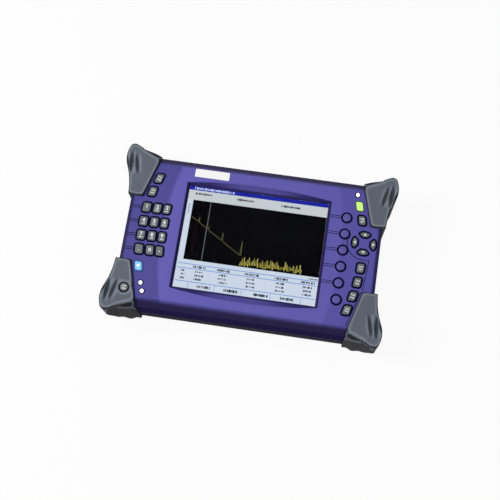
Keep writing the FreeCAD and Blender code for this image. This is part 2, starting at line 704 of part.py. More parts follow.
def flank_bevel():
    """What the bevel takes off the flank: it slants out and down, and ends in a slanted wall at the ear."""
    steep = BUMPER_BEVEL_H / BUMPER_BEVEL
    section = []
    for out, z in ((-0.5, BUMPER_TOP_Z + 0.5 * steep), (9.0, BUMPER_TOP_Z - 9.0 * steep),
                   (16.0, BUMPER_TOP_Z - 9.0 * steep), (16.0, BUMPER_TOP_Z + 0.5 * steep)):
        section.append(V(BUMPER_BEVEL_L + 0.9 * out, out, z))
    tool = Part.Face(Part.makePolygon(section + section[:1])).extrude(V(-BUMPER_BEVEL_L - 12, 0, 0))
    tool.rotate(V(0, 0, 0), V(0, 0, 1), BUMPER_BEVEL_TURN)
    tool.translate(V(BUMPER_END_X, BUMPER_FLANK_Y - BUMPER_BEVEL, 0))
    return tool


def foot_lean():
    """What the ear's lean takes off: nothing at BUMPER_LEAN_H, and most at the foot."""
    lean = (BUMPER_EAR_Y - BUMPER_FOOT_Y) / BUMPER_LEAN_H
    section = [V(90, BUMPER_FOOT_Y - lean, -1), V(90, BUMPER_EAR_Y, BUMPER_LEAN_H), V(90, 90, BUMPER_LEAN_H),
               V(90, 90, -1)]
    return Part.Face(Part.makePolygon(section + section[:1])).extrude(V(45, 0, 0))


def bumper_blank():
    """Upper-right corner before the housing is taken out of it."""
    blank = prism(bumper_outline(), BUMPER_TOP_Z)
    along = V(BUMPER_END_X - BUMPER_LIP_X, BUMPER_LIP_Y - BUMPER_END_Y, 0).normalize()
    outward = V(along.y, -along.x, 0)
    rise = math.degrees(math.atan2(BUMPER_TOP_Z - BUMPER_INNER_Z, 30.4))
    lid = box(-20, 60, -80, 80, 0, 20)
    lid.rotate(V(0, 0, 0), V(0, 1, 0), -rise)
    lid.rotate(V(0, 0, 0), V(0, 0, 1), math.degrees(math.atan2(outward.y, outward.x)))
    lid.translate(V(BUMPER_LIP_X, BUMPER_END_Y, BUMPER_INNER_Z))
    return cut(blank, lid, flank_bevel(), foot_lean())


def flute(x0, y0, x1, y1, z, width, depth):
    """Finger groove, widest and deepest in the middle: a bevelled wheel that rolls along its line."""
    half = math.hypot(x1 - x0, y1 - y0) / 2
    roll = (half * half + depth * depth) / (2 * depth)
    section = [V(0, -0.18 * width, -roll), V(0, 0.18 * width, -roll), V(0, 0.42 * width, -roll + 0.5 * depth),
               V(0, 0.5 * width, -roll + depth), V(0, 0.5 * width, -roll + 3), V(0, -0.5 * width, -roll + 3),
               V(0, -0.5 * width, -roll + depth), V(0, -0.42 * width, -roll + 0.5 * depth)]
    sector = Part.Face(Part.makePolygon(section + section[:1]))
    reach = math.degrees(math.asin(half / roll)) + 4
    sector.rotate(V(0, 0, 0), V(0, 1, 0), -reach)
    wheel = sector.revolve(V(0, 0, 0), V(0, 1, 0), 2 * reach)
    wheel.rotate(V(0, 0, 0), V(0, 0, 1), math.degrees(math.atan2(y1 - y0, x1 - x0)))
    wheel.translate(V((x0 + x1) / 2, (y0 + y1) / 2, z - depth + roll))
    return wheel


def bumper(flip_x, flip_y):
    blank = bumper_blank()
    front = front_form(-BUMPER_FIT, 20.0)
    rear = rear_form(-BUMPER_FIT, 30.0)
    blank = cut(blank, front, rear)
    blank = cut(blank, flute(121.6, 48.5, 123.6, 73.5, 59.6, 4.0, 2.1),
                flute(114.2, 48.0, 119.2, 71.5, 59.2, 4.0, 1.8))
    corner = mirrored(blank, flip_x, flip_y)
    if flip_x and flip_y:
        well = faceted(POWER_X, POWER_Y, POWER_R + 1.4, BUMPER_INNER_Z - 1.2, 62, ROUND_SIDES)
        shaft = faceted(POWER_X, POWER_Y, POWER_R + KEY_GAP, 40, 62, ROUND_SIDES)
        corner = cut(corner, well, shaft)
    return corner


# ---- Display, boards and the optical bench ------------------------------------------------------

def screen_window():
    return rounded_prism(SCREEN_X, SCREEN_Y, WINDOW_W, WINDOW_H, 1.5, WINDOW_LOW, WINDOW_TOP)


def lcd_module():
    glass = centred_box(SCREEN_X, SCREEN_Y, 137.0, 103.0, 50.0, WINDOW_LOW - 0.2)
    case = centred_box(SCREEN_X, SCREEN_Y, 148.0, 114.0, 46.4, SCREEN_BOSS_Z - 0.2)
    tray = centred_box(SCREEN_X, SCREEN_Y, 120.0, 90.0, 45.6, 46.5)
    return fuse(case, glass, tray)


def lcd_bracket():
    """Folded sheet frame that holds the display against the housing, with four screw ears."""
    low = 44.2
    sheet = centred_box(SCREEN_X, SCREEN_Y, 150.0, 116.0, low, low + 1.0)
    window = centred_box(SCREEN_X, SCREEN_Y, 124.0, 94.0, low - 1, low + 2)
    folds = [centred_box(SCREEN_X + side * 75.5, SCREEN_Y, 1.0, 80.0, low, low + 4.6) for side in (-1, 1)]
    ears = [centred_box(x, math.copysign(59.5, y), 9.0, 11.0, low, low + 1.0) for x, y in BRACKET_POSTS]
    holes = [faceted(x, y, 1.4, low - 1, low + 2) for x, y in BRACKET_POSTS]
    return cut(fuse(sheet, *folds, *ears), window, *holes)


def key_boards():
    """Circuit boards under the keys; a low metal dome lies under each plunger."""
    low = BOARD_Z - 1.2
    boards = []
    for board in (box(-110, -78, -63, 60, low, BOARD_Z), box(79, 110, -57, 62, low, BOARD_Z)):
        notches = [centred_box(x, y, 6.0, 6.0, low - 1, BOARD_Z + 1) for x, y in BOARD_POSTS]
        notches += [centred_box(x, y, 8.4, 8.4, low - 1, BOARD_Z + 1) for x, y in SCREW_PLACES]
        boards.append(cut(board, *notches))
    return Part.makeCompound(boards)


def main_board():
    top = BOARD_LOW_Z + 1.6
    board = centred_box(0, -2.0, 220.0, 112.0, BOARD_LOW_Z, top)
    chips = [centred_box(48, -22, 34, 34, top - 0.1, top + 2.6),
             centred_box(10, -30, 22, 16, top - 0.1, top + 2.0),
             centred_box(10, -8, 14, 14, top - 0.1, top + 1.6),
             centred_box(70, 22, 26, 20, top - 0.1, top + 6.0),
             centred_box(-60, -36, 50, 22, top - 0.1, top + 8.0)]
    caps = [faceted(78 + 9 * (i % 2), -44 + 9 * (i // 2), 3.6, top - 0.1, top + 9) for i in range(4)]
    return fuse(board, *chips, *caps)


def optical_module():
    """Screened box of the laser, coupler and detector, with the fibre's exit boss."""
    low = 29.2
    case = centred_box(-40.0, 12.0, 62.0, 58.0, low, low + 12.5)
    lid = centred_box(-40.0, 12.0, 59.0, 55.0, low + 12.4, low + 13.2)
    exit_boss = box(OPTICAL_BAY_X - 2.4, OPTICAL_BAY_X + 2.4, 40.9, 44.0, BAY_Z - 2.4, BAY_Z + 2.4)
    fins = [centred_box(-62 + 5.5 * i, 12.0, 1.6, 44.0, low + 13.1, low + 14.6) for i in range(9)]
    return fuse(case, lid, exit_boss, *fins)


def optical_adapter():
    """Threaded-barrel fibre adapter: square flange, barrel with key slot, and a centring sleeve."""
    floor = HALF_H - BAY_DEPTH
    mouth = HALF_H - COVER_T - 1.6
    flange = box(OPTICAL_BAY_X - 6.5, OPTICAL_BAY_X + 6.5, floor, floor + 1.4, BAY_Z - 6.5, BAY_Z + 6.5)
    barrel = faceted_y(OPTICAL_BAY_X, BAY_Z, 4.0, floor + 1, mouth, 20)
    tail = box(OPTICAL_BAY_X - 2.7, OPTICAL_BAY_X + 2.7, 44.5, floor + 0.1, BAY_Z - 2.7, BAY_Z + 2.7)
    room = cut(faceted_y(OPTICAL_BAY_X, BAY_Z, 2.95, floor, HALF_H),
               faceted_y(OPTICAL_BAY_X, BAY_Z, 1.85, floor - 1, mouth - 1.0))
    ferrule_way = faceted_y(OPTICAL_BAY_X, BAY_Z, 1.3, floor - 2, HALF_H, 12)
    slot = box(OPTICAL_BAY_X - 1.0, OPTICAL_BAY_X + 1.0, HALF_H - 6.0, HALF_H, BAY_Z, BAY_Z + 6)
    return cut(fuse(flange, barrel, tail), room, ferrule_way, slot)


def data_ports():
    """Two flat host sockets side by side, each a metal shell with its contact tongue."""
    ports = []
    for x in (DATA_BAY_X - 9.0, DATA_BAY_X + 7.5):
        shell = box(x - 6.8, x + 6.8, 50.0, HALF_H - COVER_T - 2.0, BAY_Z - 3.9, BAY_Z + 1.9)
        mouth = box(x - 6.2, x + 6.2, 56.0, HALF_H, BAY_Z - 3.3, BAY_Z + 1.3)
        tongue = box(x - 5.0, x + 5.0, 55.0, HALF_H - COVER_T - 3.0, BAY_Z - 0.6, BAY_Z + 1.0)
        ports.append(cut(shell, mouth).fuse(tongue))
    return Part.makeCompound(ports)


def dc_jack():
    barrel = faceted_y(DC_JACK_X, BAY_Z, 4.0, 60.5, HALF_H - 0.3, 20)
    mouth = faceted_y(DC_JACK_X, BAY_Z, 3.0, 62.0, HALF_H + 1, 20)
    pin = faceted_y(DC_JACK_X, BAY_Z, 1.0, 61.0, HALF_H - 1.5, 12)
    body = box(DC_JACK_X - 4.5, DC_JACK_X + 4.5, 50.0, 61.0, BAY_Z - 5.0, BAY_Z + 4.5)
    return fuse(cut(fuse(barrel, body), mouth), pin)


def label_plate():
    return clipped_prism(-45.4, 60.4, 32.4, 7.8, 0.5, FACE_Z, FACE_Z + 0.5)


def status_lights():
    """Light guides: a round head at the face and a square stalk down to the key board."""
    lights = []
    for x, y in LIGHT_PLACES:
        face = face_height(x, y)
        stalk = centred_box(x, y, 2.4, 2.4, BOARD_Z + 0.2, face)
        lights.append(fuse(stalk, faceted(x, y, LIGHT_R, face - 2.0, face + 0.4, 16)))
    return Part.makeCompound(lights)


# ---- Write every node ---------------------------------------------------------------------------

def build():
    nodes = {
        "front_housing": front_housing(),
        "connector_panel": connector_panel(),
        "rear_housing": rear_housing(),
        "shell_gasket": shell_gasket(),
        "bumper_upper_right": bumper(False, False),
        "bumper_upper_left": bumper(True, False),
        "bumper_lower_left": bumper(True, True),
        "bumper_lower_right": bumper(False, True),
        "screen_window": screen_window(),
        "lcd_module": lcd_module(),
        "lcd_bracket": lcd_bracket(),
        "key_boards": key_boards(),
        "main_board": main_board(),
        "optical_module": optical_module(),
        "optical_adapter": optical_adapter(),
        "optical_port_cover": bay_cover(OPTICAL_BAY_X, OPTICAL_BAY_W),
        "data_port_cover": bay_cover(DATA_BAY_X, DATA_BAY_W),
        "cover_pins": cover_pins(),
        "data_ports": data_ports(),
        "dc_jack": dc_jack(),
        "battery_pack": battery_pack(),
        "battery_door": battery_door(),
        "tilt_stand": tilt_stand(),
        "stand_pins": stand_pins(),
        "label_plate": label_plate(),
        "status_lights": status_lights(),
    }
    for name, outline, place in key_table():
        nodes[name] = key_cap(name, outline, place)
    return nodes


os.makedirs("parts", exist_ok=True)
for node, shape in build().items():
    shape.exportStep(f"parts/{node}.step")
    extent = shape.BoundBox
    print(f"{node}: {extent.XLength:.1f} x {extent.YLength:.1f} x {extent.ZLength:.1f} mm,"
          f" {len(shape.Solids)} solid(s), valid {shape.isValid()}")
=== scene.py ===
# %% [markdown]
# A handheld optical time domain reflectometer, dressed for rendering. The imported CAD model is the
# frame: its nodes are in metres, lying on their back with the screen up. This lesson gives each
# node a finish, and adds what a solid modeller leaves out: soft rubber, key legends, the dark
# surrounds of the keys, the lit picture, screws and threads. Sizes are written in millimetres, and
# a point becomes metres only where it goes into a mesh.

# %% Load the frame
import math

import bmesh
import bpy
import numpy as np
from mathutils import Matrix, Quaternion, Vector


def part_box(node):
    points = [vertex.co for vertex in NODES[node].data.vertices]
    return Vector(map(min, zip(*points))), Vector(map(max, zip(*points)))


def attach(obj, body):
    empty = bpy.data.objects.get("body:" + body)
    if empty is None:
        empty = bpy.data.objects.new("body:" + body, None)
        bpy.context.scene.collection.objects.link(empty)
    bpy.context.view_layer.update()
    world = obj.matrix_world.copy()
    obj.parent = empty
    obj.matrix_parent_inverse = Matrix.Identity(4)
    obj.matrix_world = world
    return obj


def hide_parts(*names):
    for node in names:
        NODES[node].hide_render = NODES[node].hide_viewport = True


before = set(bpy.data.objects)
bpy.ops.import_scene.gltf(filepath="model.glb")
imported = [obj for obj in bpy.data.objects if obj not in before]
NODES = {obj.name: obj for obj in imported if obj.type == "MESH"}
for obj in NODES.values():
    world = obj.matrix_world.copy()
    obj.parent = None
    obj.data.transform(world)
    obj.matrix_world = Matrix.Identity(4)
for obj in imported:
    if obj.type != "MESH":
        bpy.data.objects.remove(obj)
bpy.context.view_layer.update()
MM = 0.001
ROOT = "instrument"

# %% [markdown]
# The camera comes first. It looks down steeply, from a little right of the middle, and is rolled,
# so that the instrument lies aslant in the frame. A view direction turned into a quaternion gives
# the level camera, and a turn about its own axis gives the roll.

# %% Camera
VIEW_HEADING = math.radians(14.38)     # turned from +Y towards -X
VIEW_DOWN = math.radians(74.65)
VIEW_ROLL = math.radians(-5.93)
VIEW_FROM = (0.0561, -0.2242, 0.8749)
VIEW_LENS = 66.64


def in_scene(name, data):
    """New object for a mesh, a text, a camera or a lamp, put into the scene."""
    item = bpy.data.objects.new(name, data)
    bpy.context.scene.collection.objects.link(item)
    return item


camera = in_scene("camera", bpy.data.cameras.new("camera"))
camera.data.lens = VIEW_LENS
camera.location = VIEW_FROM
view = Vector((-math.sin(VIEW_HEADING) * math.cos(VIEW_DOWN),
               math.cos(VIEW_HEADING) * math.cos(VIEW_DOWN), -math.sin(VIEW_DOWN)))
camera.rotation_mode = "QUATERNION"
camera.rotation_quaternion = view.to_track_quat("-Z", "Y") @ Quaternion((0, 0, 1), VIEW_ROLL)
camera.data.clip_start = 0.01
bpy.context.scene.camera = camera
print("camera right", [round(v, 4) for v in camera.rotation_quaternion @ Vector((1, 0, 0))])

# %% [markdown]
# Every new piece is a surface worked out with numpy. A grid of points needs only its rows and
# columns to be woven into quads, so one small function serves closed bands, tubes and strips. A
# second one puts such parts into one mesh and sets it on a body of the CAD model.

# %% Grids into meshes
def grid_faces(rows, columns, wrap_columns=False, wrap_rows=False):
    """Quads between neighbouring points of a grid, numbered row by row, with optional wrapping."""
    r = np.arange(rows if wrap_rows else rows - 1)[:, None]
    c = np.arange(columns if wrap_columns else columns - 1)[None, :]
    up = ((r + 1) % rows) * columns
    across = (c + 1) % columns
    quads = np.stack([r * columns + c, r * columns + across, up + across, up + c], axis=-1)
    return quads.reshape(-1, 4).tolist()


def make_piece(name, parts, body, sharp=35.0):
    """One object from parts of (points in mm, faces, material), riding on a CAD body."""
    points, faces, slots, materials = [], [], [], []
    start = 0
    for part_points, part_faces, material in parts:
        flat = np.asarray(part_points, float).reshape(-1, 3)
        if material not in materials:
            materials.append(material)
        points.append(flat)
        faces.extend([[i + start for i in face] for face in part_faces])
        slots.extend([materials.index(material)] * len(part_faces))
        start += len(flat)
    mesh = bpy.data.meshes.new(name)
    mesh.from_pydata(np.concatenate(points) * MM, [], faces)
    for material in materials:
        mesh.materials.append(material)
    mesh.polygons.foreach_set("material_index", np.array(slots, np.int32))
    mesh.shade_smooth()
    mesh.set_sharp_from_angle(angle=math.radians(sharp))
    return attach(in_scene(name, mesh), body)


# %% [markdown]
# The shapes and finishes lean on the CAD model: the height of the face, the outline of a key, the
# middle of a screen. Reading a whole mesh in one call is far quicker than point by point, so one
# function does it for points, edges and normals alike.

# %% Points of CAD nodes
def read_array(items, field, width, kind=np.float32):
    """One row for each vertex or edge of a mesh, with width numbers in it."""
    flat = np.empty(len(items) * width, kind)
    items.foreach_get(field, flat)
    return flat.reshape(-1, width)


def node_points(node):
    """Points of a CAD node in mm, one row each."""
    return read_array(NODES[node].data.vertices, "co", 3).astype(float) / MM


FACE_Z = node_points("front_housing")[:, 2].max()
print("face height in mm", round(FACE_Z, 2))

# %% [markdown]
# A finish is a small graph of shader nodes. Written out link by link it would fill pages, so short
# helpers say the usual steps in a line each: a new node with its settings and inputs, a colour from
# a card, a mask made from a value, two colours mixed by a mask, and a sum.

# %% Node helpers
def add_node(tree, kind, inputs=(), **settings):
    """New shader node; each input is given a value or linked to an output of another node."""
    made = tree.nodes.new("ShaderNode" + kind)
    for name, value in settings.items():
        setattr(made, name, value)
    for socket, value in dict(inputs).items():
        if isinstance(value, bpy.types.NodeSocket):
            tree.links.new(value, made.inputs[socket])
        else:
            made.inputs[socket].default_value = value
    return made


def srgb(red, green, blue):
    """Linear colour from the 0-255 values of a colour card."""
    card = np.array([red, green, blue]) / 255.0
    linear = np.where(card <= 0.04045, card / 12.92, ((card + 0.055) / 1.055) ** 2.4)
    return (*linear.tolist(), 1.0)


def ramp(tree, value, low, high, most=1.0, smooth=False):
    """Mask that goes from 0 at low to most at high and stays there; smooth eases both ends."""
    return add_node(tree, "MapRange",
                    {"Value": value, "From Min": low, "From Max": high, "To Max": most},
                    interpolation_type="SMOOTHSTEP" if smooth else "LINEAR").outputs["Result"]


def mixed(tree, mask, under, over):
    """Colour that goes from under to over as the mask goes from 0 to 1; cards or outputs."""
    under, over = (value if isinstance(value, bpy.types.NodeSocket) else srgb(*value)
                   for value in (under, over))
    return add_node(tree, "Mix", {"Factor": mask, "A": under, "B": over},
                    data_type="RGBA").outputs["Result"]


def math_of(tree, operation, *values, **settings):
    """Result of a Math node for up to three numbers or outputs."""
    return add_node(tree, "Math", enumerate(values), operation=operation, **settings).outputs[0]


# %% [markdown]
# Moulded plastic and rubber are never one flat colour: a fine grain catches the light, and the tone
# drifts a little. A node group makes that once, and each material sets its own grain and strength.

# %% Moulded grain
def new_group(name, inputs, outputs):
    """Node group; inputs name their start value, or None for a colour, and outputs their kind."""
    group = bpy.data.node_groups.new(name, "ShaderNodeTree")
    for label, start in inputs.items():
        kind = "NodeSocketColor" if start is None else "NodeSocketFloat"
        socket = group.interface.new_socket(label, in_out="INPUT", socket_type=kind)
        if start is not None:
            socket.default_value = start
    for label, kind in outputs.items():
        group.interface.new_socket(label, in_out="OUTPUT", socket_type="NodeSocket" + kind)
    given = group.nodes.new("NodeGroupInput").outputs
    return group, given, group.nodes.new("NodeGroupOutput").inputs


def grain_group():
    """Colour that drifts, roughness that drifts, and a normal with fine grain."""
    group, given, result = new_group(
        "moulded_grain",
        {"Light": None, "Dark": None, "Grain": 1800.0, "Drift Scale": 22.0, "Depth": 0.00002,
         "Roughness": 0.5},
        {"Color": "Color", "Rough": "Float", "Normal": "Vector"})
    place = add_node(group, "TexCoord").outputs["Object"]
    drift = add_node(group, "TexNoise",
                     {"Vector": place, "Scale": given["Drift Scale"], "Detail": 3.0})
    fine = add_node(group, "TexNoise", {"Vector": place, "Scale": given["Grain"], "Detail": 2.0})
    height = fine.outputs["Fac"]
    tone = ramp(group, drift.outputs["Fac"], 0.3, 0.7)
    bump = add_node(group, "Bump", {"Strength": 0.5, "Distance": given["Depth"], "Height": height})
    group.links.new(mixed(group, tone, given["Dark"], given["Light"]), result["Color"])
    group.links.new(math_of(group, "MULTIPLY_ADD", height, 0.12, given["Roughness"]),
                    result["Rough"])
    group.links.new(bump.outputs["Normal"], result["Normal"])
    return group


GRAIN = grain_group()
print("grain sockets", [item.name for item in GRAIN.interface.items_tree])

# %% [markdown]
# Most finishes of the instrument differ only in their values: colour, how fine and how deep the
# grain is, how rough, how shiny, metal or not. So one function makes them all. It puts the group
# into a new material and links it to the Principled shader, which stays outside the group.

# %% Moulded materials
def shader(name):
    """A new material and its Principled node."""
    material = bpy.data.materials.new(name)
    material.use_nodes = True
    return material, material.node_tree.nodes["Principled BSDF"]


def darker(colour, share):
    """The same colour with its three channels cut to a share."""
    return [channel * share for channel in colour[:3]] + [1.0]


def moulded(name, card, grain=1800.0, depth=0.00002, roughness=0.45, drift=0.06, specular=0.4,
            metallic=0.0):
    """Plastic, rubber or metal with the shared grain; drift sets how dark its darkest tone is."""
    material, principled = shader(name)
    light = srgb(*card)
    finish = add_node(material.node_tree, "Group",
                      {"Light": light, "Dark": darker(light, 1.0 - 2.0 * drift), "Grain": grain,
                       "Depth": depth, "Roughness": roughness}, node_tree=GRAIN).outputs
    for output, socket in (("Color", "Base Color"), ("Rough", "Roughness"), ("Normal", "Normal")):
        material.node_tree.links.new(finish[output], principled.inputs[socket])
    principled.inputs["Specular IOR Level"].default_value = specular
    principled.inputs["Metallic"].default_value = metallic
    return material


# %% [markdown]
# The purple shell is satin plastic with soft edges. Its sloped borders and walls are painted a much
# deeper tone than the face, as painted shade. A node group reads the lean of a softened normal and
# gives that as a mask, so the painted shade turns over each edge the way that a moulded radius
# would.

# %% Lean of a surface
def lean_group():
    """Mask that is 1 on faces that look up and 0 on walls; Low and High are cosines of the lean."""
    group, given, result = new_group("surface_lean", {"Radius": 0.0015, "Low": 0.75, "High": 0.97},
                                     {"Up": "Float"})
    soft = add_node(group, "Bevel", {"Radius": given["Radius"]}, samples=8)
    local = add_node(group, "VectorTransform", {"Vector": soft.outputs["Normal"]},
                     vector_type="NORMAL", convert_from="WORLD", convert_to="OBJECT")
    split = add_node(group, "SeparateXYZ", {"Vector": local.outputs["Vector"]}).outputs
    group.links.new(ramp(group, split["Z"], given["Low"], given["High"], smooth=True),
                    result["Up"])
    return group


LEAN = lean_group()
print("lean sockets", [item.name for item in LEAN.interface.items_tree])


def base_colour(material):
    """The Base Color socket of a material, and the output that feeds it so far."""
    socket = material.node_tree.nodes["Principled BSDF"].inputs["Base Color"]
    return socket, socket.links[0].from_socket


def shade_by_lean(material, shade_card, radius, low, high):
    """Paint a shade colour on a moulded material's walls and slopes by their lean; returns the
    mask.
    """
    tree = material.node_tree
    socket, plain = base_colour(material)
    up = add_node(tree, "Group", {"Radius": radius, "Low": low, "High": high},
                  node_tree=LEAN).outputs["Up"]
    tree.links.new(mixed(tree, up, shade_card, plain), socket)
    return up


# %% [markdown]
# The rubber corners get painted shade in their hollows and painted highlights on their ridges. They
# carry an attribute named hollow: how far each point lies under the mean of its surroundings, in
# mm. Where that is positive the tone is painted dark as shade, where it is a little negative it is
# painted pale as a highlight, and on the sharp outer rim it is painted as dark as the shaded flank.

# %% Hollows and ridges
# painted light on the rubber: a highlight on ridges, shade on the rim and in hollows
RUBBER_PAINTED_LIGHT = {                        # colour, from and to in mm of the attribute, and share
    "ridge": ((150, 157, 166), -0.03, -0.22, 0.4),
    "rim": ((34, 35, 40), -0.36, -0.54, 0.95),
    "hollow": ((52, 56, 66), 0.05, 0.34, 0.9),
}


def painted_light_by_form(material, bands):
    """Lay painted shade and highlights over the material, one colour for each band, as far as the
    attribute hollow says.
    """
    tree = material.node_tree
    socket, colour = base_colour(material)
    form = add_node(tree, "Attribute", attribute_name="hollow").outputs["Fac"]
    for card, low, high, share in bands.values():
        colour = mixed(tree, ramp(tree, form, low, high, share, smooth=True), colour, card)
    tree.links.new(colour, socket)


# %% [markdown]
# The face gets painted shade: the two side zones that fall away beyond the crown arcs are painted
# darker than the middle. The same arc that shapes the face gives the mask: how far a point lies
# beyond a circle of the crown's radius. Along the two long edges painted shade falls off softly
# over the rounded slope, and the sunk surround of the display is painted darker than the face as
# shade, with a narrow dark margin next to the window. Each tone is laid over the ones before it
# through a mask of its own, as coats of paint would be.

# %% Tones of the front housing
CROWN_R, CROWN_REACH, CROWN_FALL = 245.0, 83.0, math.tan(math.radians(4.0))
CROWN_BLUR = 1.5                        # half the width over which the two tones meet
PURPLE = (101, 95, 179)
# painted shade: the side zones beyond the crown arcs are darker, the left one more
SIDE_SHADE_PURPLE, LEFT_SHADE_PURPLE = (93, 87, 169), (78, 73, 145)
# painted shade where the face rounds over at the very end of the body
EDGE_SHADE_PURPLE, EDGE_NEAR, EDGE_FAR = (38, 32, 80), 4.6, 2.1          # from the end of the body
# painted shade on the slopes along the long edges, from near to far in Y
SLOPE_SHADE_PURPLE, SLOPE_NEAR, SLOPE_FAR = (36, 29, 70), 63.4, 68.6
# painted shade on the walls, laid by their lean
WALL_SHADE_PURPLE = (48, 39, 90)
# painted shade in the sunk surround of the display, deeper from near to far in X
RECESS_SHADE_PURPLE, RECESS_SHADE_END, RECESS_NEAR, RECESS_FAR = (78, 73, 146), (44, 38, 96), 12.0, 50.0
RECESS_TOP, RECESS_FLOOR = 0.1, 0.6     # under the face
RECESS_REACH, RECESS_RISE = 70.0, 62.0
MARGIN_PURPLE, MARGIN_WIDE, MARGIN_BLUR = (38, 32, 84), -0.8, 0.3  # inside the window's own edge
FACE_SHEEN = 0.1                        # specular level of what looks up


def vector_of(tree, operation, *values):
    """Vector result of a Vector Math node."""
    return add_node(tree, "VectorMath", enumerate(values), operation=operation).outputs["Vector"]


def crowned_shell():
    """Purple of the front housing: middle, and painted shade on side zones past the crown arcs and
    walls.
    """
    material = moulded("shell_purple", PURPLE, roughness=0.45, drift=0.03)
    tree = material.node_tree
    socket, colour = base_colour(material)
    place = add_node(tree, "TexCoord").outputs["Object"]
    x, y, z = add_node(tree, "SeparateXYZ", {"Vector": place}).outputs
    across, along = math_of(tree, "ABSOLUTE", x), math_of(tree, "ABSOLUTE", y)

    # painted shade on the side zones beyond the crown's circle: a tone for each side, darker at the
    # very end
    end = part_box("rear_housing")[1][0]
    side = mixed(tree, math_of(tree, "GREATER_THAN", x, 0.0), LEFT_SHADE_PURPLE, SIDE_SHADE_PURPLE)
    rim = ramp(tree, across, end - EDGE_NEAR * MM, end - EDGE_FAR * MM, smooth=True)
    shifted = math_of(tree, "ADD", across, (CROWN_R - CROWN_REACH) * MM)
    spoke = add_node(tree, "CombineXYZ", {"X": shifted, "Y": y}).outputs["Vector"]
    reach = add_node(tree, "VectorMath", {0: spoke}, operation="LENGTH").outputs["Value"]
    zone = ramp(tree, reach, (CROWN_R - CROWN_BLUR) * MM, (CROWN_R + CROWN_BLUR) * MM)
    colour = mixed(tree, zone, colour, mixed(tree, rim, side, EDGE_SHADE_PURPLE))

    # painted shade in the sunk surround of the display: lower than the face, and within reach of
    # the window
    sunk = ramp(tree, z, (FACE_Z - RECESS_TOP) * MM, (FACE_Z - RECESS_FLOOR) * MM)
    near = math_of(tree, "LESS_THAN", across, RECESS_REACH * MM)
    inner = math_of(tree, "LESS_THAN", along, RECESS_RISE * MM)
    within = math_of(tree, "MULTIPLY", math_of(tree, "MULTIPLY", sunk, near), inner)
    aside = ramp(tree, across, RECESS_NEAR * MM, RECESS_FAR * MM, smooth=True)
    colour = mixed(tree, within, colour, mixed(tree, aside, RECESS_SHADE_PURPLE, RECESS_SHADE_END))

    # margin of the window: how far a point lies outside the box of the window, in X or in Y
    low, high = (np.array(corner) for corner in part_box("screen_window"))
    spans = vector_of(tree, "ABSOLUTE", vector_of(tree, "SUBTRACT", place, (low + high) / 2))
    outside = add_node(tree, "SeparateXYZ",
                       {"Vector": vector_of(tree, "SUBTRACT", spans, (high - low) / 2)}).outputs
    beside = ramp(tree, math_of(tree, "MAXIMUM", outside["X"], outside["Y"]),
                  MARGIN_WIDE * MM, (MARGIN_WIDE - MARGIN_BLUR) * MM)
    colour = mixed(tree, beside, colour, MARGIN_PURPLE)

    # painted shade on the slopes along the long edges and on the walls by their lean, and a sheen
    # on what looks up
    slope = ramp(tree, along, SLOPE_NEAR * MM, SLOPE_FAR * MM, smooth=True)
    tree.links.new(mixed(tree, slope, colour, SLOPE_SHADE_PURPLE), socket)
    up = shade_by_lean(material, WALL_SHADE_PURPLE, radius=0.0012, low=0.5, high=0.72)
    tree.links.new(math_of(tree, "MULTIPLY", up, FACE_SHEEN),
                   tree.nodes["Principled BSDF"].inputs["Specular IOR Level"])
    return material


shell_purple = crowned_shell()
print("shell nodes", len(shell_purple.node_tree.nodes))

# %% [markdown]
# The other pieces are plain mouldings, rubber and metal. Rubber is rough and hardly shines, satin
# plastic shines a little, and plated metal is smooth with a fine grain. Only the rubber corners get
# more: a flank painted dark as shade by their lean, and painted shade and highlights by their form.

# %% Plain materials
key_purple = moulded("key_purple", (90, 84, 162), roughness=0.4, drift=0.02, specular=0.3)
cover_purple = moulded("cover_purple", (52, 44, 98), roughness=0.45, drift=0.04)
shell_charcoal = moulded("shell_charcoal", (50, 46, 66), roughness=0.6, drift=0.08, specular=0.01)
corner_rubber = moulded("corner_rubber", (100, 107, 117), grain=1400.0, depth=0.00004,
                        roughness=0.6, drift=0.05, specular=0.06)
# painted shade: flanks and bevels of the corners turn dark by their lean
shade_by_lean(corner_rubber, (40, 40, 46), radius=0.0016, low=0.62, high=0.95)
painted_light_by_form(corner_rubber, RUBBER_PAINTED_LIGHT)
seal_rubber = moulded("seal_rubber", (22, 22, 26), roughness=0.7)
surround_rubber = moulded("surround_rubber", (5, 3, 42), roughness=0.6, specular=0.05)
legend_white = moulded("legend_white", (238, 240, 244), roughness=0.5, drift=0.02)
plate_white = moulded("plate_white", (250, 250, 250), roughness=0.35, drift=0.01)
key_grey = moulded("key_grey", (104, 107, 112), roughness=0.5, drift=0.05)
black_plastic = moulded("black_plastic", (26, 26, 30), roughness=0.45)
steel_sheet = moulded("steel_sheet", (168, 170, 174), grain=3000.0, roughness=0.3, metallic=1.0)
nickel = moulded("nickel", (190, 186, 178), grain=4000.0, roughness=0.22, metallic=1.0)
board_green = moulded("board_green", (24, 80, 52), roughness=0.35, drift=0.15)
case_aluminium = moulded("case_aluminium", (182, 184, 188), roughness=0.35, metallic=1.0)
print("materials", len(bpy.data.materials))

# %% [markdown]
# The green and the blue key are translucent caps with a lamp behind them, so they glow a little.
# The status lights are clear white. A small emission under the same grain does it.

# %% Lit materials
def lit(name, card, glow, roughness=0.35):
    """Moulded plastic that also gives off its own colour."""
    material = moulded(name, card, roughness=roughness, drift=0.02)
    principled = material.node_tree.nodes["Principled BSDF"]
    principled.inputs["Emission Color"].default_value = srgb(*card)
    principled.inputs["Emission Strength"].default_value = glow
    return material


key_green = lit("key_green", (196, 250, 130), 0.25)
key_blue = lit("key_blue", (120, 186, 240), 0.25)
light_white = lit("light_white", (250, 250, 252), 0.5)
glow_white = lit("glow_white", (235, 248, 255), 0.5)
print("lit", [material.name for material in (key_green, key_blue, light_white, glow_white)])

# %% [markdown]
# The window is hard-coated clear sheet: full transmission, a low roughness, and a grain so faint
# that it only softens the highlight.

